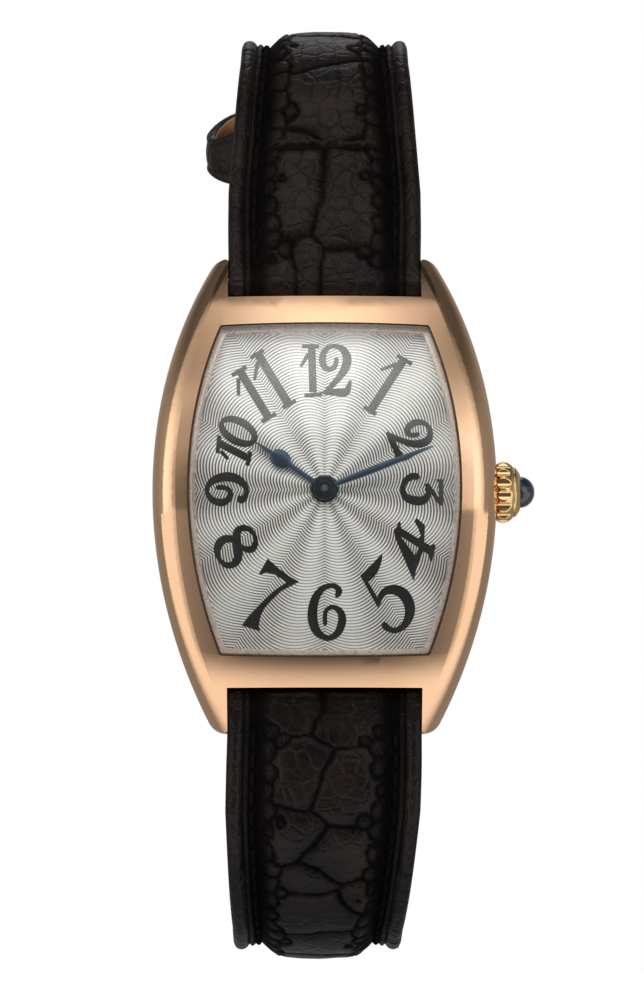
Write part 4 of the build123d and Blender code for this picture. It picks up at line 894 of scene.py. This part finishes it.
def keeper(name, node, body, distance, width, low, high, length, shift, left_corner=keeper_corner):
    """A leather loop round the strap; one with a wide left corner is pinched narrower there."""
    place = place_at(upper_route, distance)
    middle = (low + high) / 2
    path = []
    for side, up, begin, bend in ((1, 1, 0, keeper_corner), (-1, 1, 90, left_corner),
                                  (-1, -1, 180, left_corner), (1, -1, 270, keeper_corner)):
        for step in range(9):
            turn = begin + 90 * step / 8
            spare = bend - keeper_corner
            path.append((side * (width / 2 - bend) + spare * cos(radians(turn)),
                         up * ((high - low) / 2 - bend) + spare * sin(radians(turn)), turn))
    spread = []
    for index, (centre_x, centre_n, turn) in enumerate(path):
        spread.append((centre_x, centre_n, turn))
        after = path[(index + 1) % len(path)]
        count = ceil(hypot(after[0] - centre_x, after[1] - centre_n) / keeper_cell)
        spread += [(mix(centre_x, after[0], step / count), mix(centre_n, after[1], step / count), turn)
                   for step in range(1, count)]
    vertices, faces, kinds = [], [], []
    for index, (centre_x, centre_n, turn) in enumerate(spread):
        for along, rise in keeper_band:
            bow = 1 + 0.045 * ripple(index * 0.16, along * 2, distance)
            radius = keeper_corner + keeper_thick * rise
            pinch = eased((-centre_x - pinch_start) / pinch_run) if left_corner > keeper_corner else 0.0
            reach = length * along * bow * (1 - pinch_share * pinch) + pinch_shift * pinch
            offset = reach + 0.12 * ripple(index * 0.12, 7.0, distance)
            across = centre_x + radius * cos(radians(turn)) + shift
            level = middle + centre_n + radius * sin(radians(turn))
            vertices.append((across, *beside(*place, offset, level)))
    size = len(keeper_band)
    for index in range(len(spread)):
        start, after = index * size, (index + 1) % len(spread) * size
        for step in range(size):
            other = (step + 1) % size
            faces.append((start + step, after + step, after + other, start + other))
            kinds.append(1 if step < len(keeper_back) - 1 else 0)
    make_piece(name, vertices, faces, [black_leather, lining_leather], body, (node,), kinds)


def make_keepers():
    distance = upper_length - 4.9
    width = 2 * upper_half.half(distance) + 0.24
    keeper("fixed_loop", "fixed_keeper", "strap_upper", distance, width, low=-1.55,
           high=upper_half.top(distance) + 2.4, length=5.0, shift=0.0)
    distance = sum(piece[3] for piece in upper_route[:4]) + 1.7
    keeper("loose_loop", "loose_keeper", "loose_keeper", distance, width=15.0, low=-1.6, high=2.5,
           length=4.8, shift=-1.2, left_corner=2.0)


# Hands

def hand_point(along, aside, depth, angle):
    """A point of a hand that points this many degrees clockwise from twelve."""
    turn = radians(angle)
    return (along * sin(turn) + aside * cos(turn), -depth, along * cos(turn) - aside * sin(turn))


tip_least = 0.004
bevel_most = 0.10


def hand_bar(half_at, start, end, low, high, angle, steps):
    """A flat hand with bevelled edges, from its half width at each place along it."""
    vertices = []
    for step in range(steps + 1):
        along = start + (end - start) * step / steps
        half = max(tip_least, half_at(along))
        bevel = min(bevel_most, half * 0.5)
        for aside, depth in ((-half, low), (-half, high - 0.08), (-half + bevel * 0.4, high - 0.03),
                             (-half + bevel, high), (0.0, high + 0.012), (half - bevel, high),
                             (half - bevel * 0.4, high - 0.03), (half, high - 0.08), (half, low)):
            vertices.append(hand_point(along, aside, depth, angle))
    return vertices, ring_faces(steps + 1, 9)


def turned_shape(profile, steps=72):
    """A shape turned about the hands' axis, from (radius, depth) pairs; its first and last close it."""
    vertices = []
    for radius, depth in profile:
        for turn in turns(steps):
            vertices.append((radius * cos(turn), -depth, radius * sin(turn)))
    faces = ring_faces(len(profile), steps, False)
    last = (len(profile) - 1) * steps
    for index in range(steps):
        other = (index + 1) % steps
        faces.append((last + index, last + other, other, index))
    return vertices, faces


def joined(shapes):
    """One list of vertices and one of faces from those of several shapes."""
    vertices, faces = [], []
    for more, new_faces in shapes:
        base = len(vertices)
        vertices += more
        faces += [tuple(index + base for index in face) for face in new_faces]
    return vertices, faces


# The hour hand's stem, its round swelling and its tip, and the minute hand's slim leaf
stem_half, stem_end = 0.18, 3.4
swell_middle, swell_length, swell_half = 3.88, 0.81, 0.65
tip_start, tip_run = 4.36, 1.62
leaf_start, leaf_run, leaf_swell = 0.425, 8.055, 0.60
hour_angle, minute_angle = 304.4, 68.6


def hour_half(along):
    half = stem_half if along < stem_end else 0.0
    if abs(along - swell_middle) < swell_length:
        half = max(half, swell_half * sqrt(1 - ((along - swell_middle) / swell_length) ** 2))
    if along > tip_start:
        half = max(half, mix(0.17, 0.05, (along - tip_start) / tip_run)
                   + 0.02 * sin(pi * (along - tip_start) / tip_run))
    return half


def minute_half(along):
    share = (along - leaf_start) / leaf_run
    return mix(0.15, 0.05, share) + leaf_swell * share * (1 - share)


def make_hand(name, body, bar, hub):
    """A blued hand on a darker hub, standing for its body's own node."""
    kinds = [0] * len(bar[1]) + [1] * len(hub[1])
    make_piece(name, *joined([bar, hub]), [blued_steel, dark_blue_steel], body, (body,), kinds)


def make_hands():
    low, high = 4.45, 4.73
    hub = turned_shape([(0.62, low), (0.99, low), (1.0, low + 0.05), (1.0, high - 0.07), (0.96, high - 0.01),
                        (0.92, high), (0.62, high)])
    make_hand("hour_pointer", "hour_hand", hand_bar(hour_half, 0.75, 5.98, low, high, hour_angle, 150), hub)
    low, high = 5.0, 5.18
    hub = turned_shape([(0.27, low), (0.84, low), (0.85, low + 0.04), (0.85, low + 0.22), (0.82, low + 0.31),
                        (0.76, low + 0.355), (0.70, low + 0.36), (0.66, low + 0.34), (0.60, low + 0.38),
                        (0.45, low + 0.42), (0.27, low + 0.425)])
    make_hand("minute_pointer", "minute_hand",
              hand_bar(minute_half, 0.55, 8.48, low, high, minute_angle, 90), hub)
    pin = turned_shape([(0.27, low + 0.30), (0.265, low + 0.38), (0.22, low + 0.43), (0.15, low + 0.455),
                        (0.07, low + 0.465)], 32)
    make_piece("hand_pin", *pin, [pin_steel], "minute_hand")


# Crown: a barrel whose flutes run out to points at both ends

crown_depth = 2.3
crown_barrel_middle = 13.03
crown_barrel_half = 0.70
crown_barrel_radius = 2.24
crown_barrel_bulge = 0.36
flute_count = 16
flute_radius = 0.40
flute_centre = 2.43


# The crown's inner side and its outer face beside the barrel, as (x, radius)
crown_inner = [(13.14, 0.5), (13.14, 1.2), (12.03, 1.2), (12.02, 1.24), (12.02, 1.80), (12.05, 1.88),
               (12.09, 1.92), (12.24, 1.92), (12.28, 1.89), (12.31, 1.82)]
crown_outer = [(13.75, 1.81), (13.78, 1.80), (13.81, 1.83), (13.86, 1.83), (13.95, 1.76), (14.08, 1.60),
               (14.20, 1.41), (14.245, 1.33), (14.26, 1.27), (14.26, 0.6)]
crown_steps = 256


def barrel_radius(x, turn):
    """The barrel's radius, which is cut back where a flute passes."""
    share = (x - crown_barrel_middle) / crown_barrel_half
    plain_radius = crown_barrel_radius - crown_barrel_bulge * share ** 2
    pitch = 2 * pi / flute_count
    apart = abs(turn % pitch - pitch / 2)
    aside = flute_centre * sin(apart)
    if aside >= flute_radius:
        return plain_radius
    return min(plain_radius, flute_centre * cos(apart) - sqrt(flute_radius ** 2 - aside ** 2))


def make_crown():
    barrel = [(crown_barrel_middle + crown_barrel_half * (index / 10 - 1), None) for index in range(21)]
    profile = crown_inner + barrel + crown_outer
    vertices = []
    for x, radius in profile:
        for turn in turns(crown_steps):
            reach = barrel_radius(x, turn) if radius is None else radius
            vertices.append((x, -crown_depth - reach * cos(turn), reach * sin(turn)))
    faces = ring_faces(len(profile), crown_steps)
    make_piece("crown_knob", vertices, faces, [crown_gold], "crown", ("crown",))


# Dial numbers: pen strokes and flat shapes in each figure's own millimetres

picture_scale = 0.0719
dial_middle = (323.8, 488.3)
dial_depth, dial_radius = 4.15, 60.0
ink_height = 0.014
pen_spread = 0.055

# Each figure: its place in the picture, its clockwise turn, its strokes (x, y, half width) and its shapes
figures = [
    (324.3, 366.0, 0, [
        [(-.98, 1.8, .22), (-.88, -1.6, .22)], [(-1.68, 1.85, .1), (-.45, 1.85, .1)],
        [(-1.2, 1.3, .1), (-1.78, .3, .06)], [(-1.5, -1.85, .1), (-.2, -1.75, .1)],
        [(.82, .95, .1), (.8, .6, .12), (.65, .25, .13), (.3, .1, .13), (-.05, .3, .17), (-.2, .8, .2),
         (-.1, 1.35, .17), (.25, 1.75, .12), (.75, 1.85, .12), (1.3, 1.6, .2), (1.6, 1.0, .27),
         (1.5, .3, .27), (1.1, -.4, .2), (.5, -1.1, .15), (.15, -1.5, .15)],
        [(-.1, -1.62, .12), (.6, -1.6, .2), (1.3, -1.65, .25), (1.6, -1.5, .2), (1.85, -.75, .06)]], []),
    (388.1, 381.6, 32, [
        [(-.05, 2.29, .25), (-.1, -2.28, .25)], [(-.63, 2.29, .1), (.63, 2.29, .1)],
        [(-.65, -2.28, .1), (.39, -2.28, .1)], [(-.3, 1.75, .1), (-1.1, .7, .06)]], []),
    (409.7, 435.7, 60, [
        [(.08, .72, .1), (-.02, .4, .13), (-.25, .12, .13), (-.55, .12, .17), (-.77, .45, .2),
         (-.78, .95, .2), (-.5, 1.4, .14), (0, 1.62, .11), (.5, 1.45, .16), (.8, 1.05, .23),
         (.75, .5, .25), (.4, -.1, .2), (-.15, -.6, .16), (-.75, -1.05, .15), (-1.1, -1.2, .08)],
        [(-1.15, -1.18, .08), (-.6, -1.25, .14), (.1, -1.25, .17), (.7, -1.3, .22), (1.0, -1.2, .2),
         (1.2, -.55, .07)]], []),
    (422.3, 488.4, 90, [
        [(1.1, 1.4, .1), (-.45, .3, .12)],
        [(-.2, .35, .1), (.3, .45, .15), (.75, .1, .25), (.8, -.5, .28), (.55, -1.15, .22),
         (0, -1.42, .12), (-.6, -1.25, .16), (-.97, -.75, .2), (-.95, -.35, .2)],
        [(-.72, -.25, .2), (-.7, -.24, .2)]], [
        [(-.78, 1.6), (-.7, 1.55), (1.15, 1.55), (1.15, 1.4), (1.0, 1.2), (-.45, 1.2), (-.6, 1.15),
         (-.75, .9)]]),
    (414.3, 548.5, -60, [
        ], [
        [(.05, 1.65), (.4, 1.9), (.32, 1.35), (-.38, -.3), (-.5, -.55), (-1.95, -1.12), (-1.95, -1.0)],
        [(-1.95, -1.1), (-.4, -.3), (.3, -.22), (.3, -.62), (-1.0, -.8)],
        [(.3, 1.9), (1.2, 1.95), (1.15, 1.8), (.85, 1.6), (.8, -.9), (1.05, -1.05), (.95, -1.25),
         (-.1, -1.55), (-.2, -1.42), (.15, -1.15), (.25, -.3), (.32, 1.3)],
        [(.75, .1), (1.1, .1), (1.45, .5), (1.75, 1.0), (2.05, 1.0), (1.9, .2), (.75, -.4)]]),
    (387.8, 593.2, -30, [
        [(-1.0, -.35, .06), (-.6, .05, .15), (-.05, .25, .22), (.5, .05, .3), (.9, -.45, .35),
         (1.0, -1.1, .35), (.8, -1.8, .32), (.3, -2.35, .25), (-.35, -2.62, .17), (-.95, -2.5, .15),
         (-1.3, -2.1, .17), (-1.35, -1.8, .2)], [(-1.3, -1.78, .25), (-1.28, -1.77, .25)]], [
        [(-1.1, 2.15), (.05, 2.42), (1.13, 2.75), (.85, 2.35), (.45, 1.95), (0, 1.65), (-.5, 1.5),
         (-.85, 1.42)], [(-1.1, 2.15), (-.82, 1.5), (-.8, .2), (-1.0, -.45), (-1.15, -.5)]]),
    (326.2, 612.1, 0, [
        [(.72, 1.2, .14), (.88, 1.55, .18), (.6, 1.88, .15), (.15, 1.92, .13), (-.4, 1.65, .18),
         (-.85, 1.0, .25), (-1.05, .1, .3), (-1.0, -.7, .3), (-.7, -1.4, .25), (-.1, -1.8, .16),
         (.4, -1.75, .17), (.85, -1.35, .22), (1.1, -.6, .25), (1.0, 0, .2), (.6, .35, .14),
         (.2, .35, .11), (-.1, .05, .1), (-.15, -.5, .11), (-.12, -.85, .1)]], []),
    (268.5, 595.3, 30, [
        ], [
        [(-1.48, 2.25), (-.5, 2.05), (.5, 1.93), (1.3, 1.95), (1.28, 1.8), (.75, 1.45), (-.5, 1.5),
         (-1.05, 1.35), (-1.35, .95), (-1.48, .95)],
        [(.6, 1.5), (1.28, 1.85), (.55, .7), (.25, -.3), (.12, -1.0), (.15, -1.6), (.35, -2.2),
         (.64, -2.57), (-.71, -2.87), (-.6, -2.0), (-.35, -1.0), (-.05, .1), (.2, .75)]]),
    (233.6, 546.1, 60, [
        [(-.95, 1.0, .2), (-.8, .6, .24), (-.3, .3, .27), (.3, .05, .27), (.85, -.3, .25),
         (1.02, -.8, .2), (.75, -1.28, .15), (.15, -1.44, .11), (-.45, -1.25, .2), (-.83, -.75, .26),
         (-.8, -.2, .22), (-.4, .15, .16), (.15, .35, .12), (.55, .6, .17), (.75, 1.0, .2),
         (.5, 1.4, .15), (0, 1.62, .1), (-.6, 1.5, .14), (-.95, 1.05, .2)]], []),
    (225.6, 487.8, -90, [
        [(-.6, -.85, .15), (-.8, -1.0, .2), (-.55, -1.3, .15), (-.05, -1.38, .12), (.5, -1.05, .22),
         (.85, -.4, .28), (.88, .3, .28), (.65, 1.0, .22), (.2, 1.42, .13), (-.3, 1.45, .12),
         (-.8, 1.05, .18), (-.98, .45, .22), (-.8, 0, .18), (-.4, -.22, .14), (-.05, -.1, .13),
         (.12, .3, .13), (.12, .75, .12)], [(-.75, -.95, .22), (-.73, -.94, .22)]], []),
    (235.0, 438.4, -60, [
        [(-.8, 1.05, .22), (-.7, -1.3, .22)], [(-1.5, .75, .1), (-.3, 1.3, .1)],
        [(-1.25, .6, .1), (-1.5, -.15, .06)], [(-1.2, -1.6, .1), (-.2, -1.25, .1)],
        [(.65, 1.62, .12), (1.16, 1.22, .19), (1.37, .27, .23), (1.16, -.68, .19), (.65, -1.08, .12),
         (.14, -.68, .19), (-.07, .27, .23), (.14, 1.22, .19), (.65, 1.62, .12)]], []),
    (261.4, 383.3, -31, [
        [(-.82, 1.95, .25), (-.82, -2.1, .25)], [(-1.5, 1.95, .1), (-.25, 1.95, .1)],
        [(-1.2, 1.5, .1), (-1.85, .4, .06)], [(-1.4, -2.15, .1), (-.2, -2.15, .1)],
        [(.95, 2.37, .25), (.95, -2.0, .25)], [(.36, 2.37, .1), (1.46, 2.37, .1)],
        [(.65, 1.85, .1), (-.25, .8, .06)], [(.44, -2.05, .1), (1.54, -2.05, .1)]], []),
]


stroke_steps = 6
loop_gap = 0.08


def smooth_stroke(points):
    """A curve through the points of a stroke, as closer points with their half widths."""
    if len(points) < 3:
        return points
    looped = hypot(points[0][0] - points[-1][0], points[0][1] - points[-1][1]) < loop_gap
    before = points[-2] if looped else points[0]
    after = points[1] if looped else points[-1]
    padded = [before] + points + [after]
    smooth = []
    for index in range(1, len(padded) - 2):
        first, start, end, last = padded[index - 1:index + 3]
        for step in range(stroke_steps):
            t = step / stroke_steps
            smooth.append(tuple(0.5 * (2 * b + (c - a) * t + (2 * a - 5 * b + 4 * c - d) * t * t
                                       + (3 * b - a - 3 * c + d) * t ** 3)
                                for a, b, c, d in zip(first, start, end, last)))
    smooth.append(points[-1])
    return smooth


def on_dial(x, z, height):
    """A point this far above the curved dial."""
    return (x, -(dial_depth - (dial_radius - sqrt(dial_radius ** 2 - z ** 2)) + height), z)


# The ink's bands over the dial's curve, its reach into the dial, and how much each stroke lies over the last
ink_band = 0.3
ink_low = -0.03
ink_step = 0.0003


def flat_shape(outline, height):
    """A thin shape lying on the curved dial, cut into bands that follow it, with walls down into it."""
    form = bmesh.new()
    form.faces.new([form.verts.new((x, 0.0, z)) for x, z in outline])
    lowest, highest = min(z for x, z in outline), max(z for x, z in outline)
    for index in range(1, ceil((highest - lowest) / ink_band)):
        level = lowest + ink_band * index
        bmesh.ops.bisect_plane(form, geom=list(form.verts) + list(form.edges) + list(form.faces),
                               plane_co=(0, 0, level), plane_no=(0, 0, 1))
    bmesh.ops.triangulate(form, faces=list(form.faces))
    top = {vertex: index for index, vertex in enumerate(form.verts)}
    count = len(top)
    vertices = [on_dial(vertex.co.x, vertex.co.z, height) for vertex in form.verts]
    vertices += [on_dial(vertex.co.x, vertex.co.z, ink_low) for vertex in form.verts]
    faces = [tuple(top[vertex] for vertex in face.verts) for face in form.faces]
    for edge in form.edges:
        if len(edge.link_faces) == 1:
            first, last = top[edge.verts[0]], top[edge.verts[1]]
            faces.append((first, last, last + count, first + count))
    form.free()
    return vertices, faces


def make_numbers():
    """The dial's twelve numbers, each stroke laid just over the last."""
    shapes = []
    height = ink_height
    for px, py, turn, strokes, outlines in figures:
        middle_x = (px - dial_middle[0]) * picture_scale
        middle_z = -(py - dial_middle[1]) * picture_scale
        right, up = cos(radians(turn)), sin(radians(turn))

        def turned(x, y):
            return middle_x + x * right + y * up, middle_z - x * up + y * right

        for outline in outlines:
            height += ink_step
            shapes.append(flat_shape([turned(x, y) for x, y in outline], height))
        for stroke in strokes:
            height += ink_step
            spine = smooth_stroke(stroke)
            sides = []
            for index, (x, y, half) in enumerate(spine):
                first = spine[max(0, index - 1)]
                last = spine[min(len(spine) - 1, index + 1)]
                run = max(1e-6, hypot(last[0] - first[0], last[1] - first[1]))
                wide = half + pen_spread
                side_x, side_y = -(last[1] - first[1]) / run * wide, (last[0] - first[0]) / run * wide
                sides.append(((x + side_x, y + side_y), (x - side_x, y - side_y)))
            for (left, other), (next_left, next_other) in zip(sides, sides[1:]):
                shapes.append(flat_shape([turned(*spot) for spot in (left, next_left, next_other, other)],
                                         height))
            if len(stroke) > 2:
                for x, y, half in (spine[0], spine[-1]):
                    rim = [(x + half * cos(pi * step / 8), y + half * sin(pi * step / 8))
                           for step in range(16)]
                    shapes.append(flat_shape([turned(*spot) for spot in rim], height))
    vertices, faces = joined(shapes)
    numbers = make_piece("dial_numbers", vertices, faces, [numeral_ink], "watch_head")
    numbers.data.polygons.foreach_set("use_smooth", [False] * len(numbers.data.polygons))


make_strap()
make_keepers()
make_hands()
make_crown()
make_numbers()


def area_lamp(name, place, size, power):
    """A lamp aimed at the watch, which no surface mirrors."""
    lamp = bpy.data.lights.new(name, "AREA")
    lamp.shape = "RECTANGLE"
    lamp.size, lamp.size_y = size[0] * mm, size[1] * mm
    lamp.energy = power
    holder = new_object(name, lamp)
    holder.visible_glossy = False
    aim(holder, place, (0, 0, 0))


# How bright the room is by how far a direction points to the front: 0 behind, 0.5 aside, 1 in front
room_levels = [(0.0, 0.32), (0.265, 0.28), (0.575, 0.36), (0.625, 1.02), (0.665, 1.42), (0.76, 1.34),
               (0.86, 1.05), (0.93, 0.45), (0.975, 0.13), (1.0, 0.10)]
crown_side_levels = [(0.0, 0.32), (0.3, 0.28), (0.66, 0.30), (0.75, 0.90), (0.84, 1.32), (0.93, 1.36),
                     (0.96, 0.95), (0.985, 0.22), (1.0, 0.10)]

# The room's patches, as the parts of a direction between which each one begins and is full
crown_side = (0.22, 0.40)
corner_aside, corner_high, corner_shade = (0.02, 0.30), (0.30, 0.75), 0.68
overhead_high, overhead_shade = (0.903, 0.93), 0.66
box_aside, box_back, box_high, box_level = (0.06, 0.30), (-0.04, 0.18), (0.46, 0.80), 0.9
window_aside, window_front, window_high, window_level = (0.12, 0.32), (-0.55, -0.75), (0.30, 0.46), 0.8


def make_room():
    """The studio as its light falls and as surfaces mirror it; the camera sees plain white."""
    world = bpy.data.worlds.new("studio")
    bpy.context.scene.world = world
    world.use_nodes = True
    room = Nodes(world.node_tree)
    x, y, z = room.split(room.place("Generated"))
    front = room.maths("MULTIPLY_ADD", y, -0.5, 0.5)
    sides = []
    for levels in (room_levels, crown_side_levels):
        sides.append(room.ramp(front, [(place, (level,) * 3) for place, level in levels], "EASE"))
    crownward = room.step(x, *crown_side)
    ring = room.plus(room.times(sides[0], room.less(1.0, crownward)), room.times(sides[1], crownward))
    corner = room.times(room.step(room.absolute(x), *corner_aside), room.step(z, *corner_high))
    shade = room.less(1.0, room.times(corner, corner_shade))
    overhead = room.less(1.0, room.step(z, *overhead_high, 0.0, overhead_shade))
    level = room.times(room.times(ring, shade), overhead)
    for aside, depth, high, strength in ((box_aside, box_back, box_high, box_level),
                                         (window_aside, window_front, window_high, window_level)):
        narrow = room.less(1.0, room.step(room.absolute(x), *aside))
        patch = room.times(room.times(room.step(z, *high), room.step(y, *depth)), narrow)
        level = room.plus(level, room.times(patch, strength))
    dim = room.add("ShaderNodeBackground", Color=(1, 1, 1, 1))
    room.link(level, dim.inputs["Strength"])
    white = room.add("ShaderNodeBackground", Color=(1, 1, 1, 1))
    paths = room.add("ShaderNodeLightPath").outputs
    seen = room.maths("MAXIMUM", paths["Is Camera Ray"], paths["Is Transmission Ray"])
    out = room.add("ShaderNodeOutputWorld")
    room.mixed(seen, dim.outputs[0], white.outputs[0], out.inputs[0])


# The floor lies under the lower strap half at its widest swing. What surfaces mirror of it is laid out, in
# metres, on a nearer floor just under the resting strap, and drawn out from there by mirror_share.
floor_gap = 30.5
floor_size = 3000.0
mirror_share = 0.39
mirror_depth = 0.007
mirror_level, front_shade, back_shade = 1.05, 0.96, 0.78
front_near, front_spread, front_reach = 0.008, (0.85, 0.20), (-0.0165, -0.0245)
back_reach = (-0.012, 0.005)


def make_floor():
    """A pale floor for the camera and the lamps, with two dark areas that only reflections show."""
    low = cad_box[0][2] / mm - floor_gap
    corners = [(x * floor_size, y * floor_size, low) for x, y in ((-1, -1), (1, -1), (1, 1), (-1, 1))]
    ground = mesh_object("floor", corners, [(0, 1, 2, 3)])
    shader = Shader("floor")
    shader.feed(shader.ramp(shader.noise(20.0, 3.0), [(0.3, (0.78,) * 3), (0.7, (0.80,) * 3)]), "Base Color")
    shader.put(Roughness=0.8, Emission_Color=(1, 1, 1, 1))
    x, y = shader.split(shader.place())[:2]
    x = shader.times(x, mirror_share)
    y = shader.less(shader.times(y, mirror_share), mirror_depth * (1 - mirror_share))
    spread = shader.maths("DIVIDE", shader.absolute(x), shader.plus(shader.absolute(y), front_near))
    dark_front = shader.times(shader.step(spread, *front_spread), shader.step(y, *front_reach))
    mirrored = shader.less(mirror_level, shader.times(dark_front, front_shade))
    mirrored = shader.less(mirrored, shader.times(shader.step(y, *back_reach), back_shade))
    paths = shader.add("ShaderNodeLightPath").outputs
    shader.feed(shader.times(paths["Is Camera Ray"], 0.8), "Emission Strength")
    seen = shader.add("ShaderNodeEmission", Color=(1, 1, 1, 1))
    shader.link(shader.maths("MAXIMUM", mirrored, 0.0), seen.inputs["Strength"])
    shader.mixed(paths["Is Glossy Ray"], shader.body.outputs[0], seen.outputs[0], shader.output)
    ground.data.materials.append(shader.material)


make_room()
make_floor()
area_lamp("key", (-120, -300, 240), (260, 200), 1.5)
area_lamp("fill", (160, -330, 60), (240, 240), 0.5)
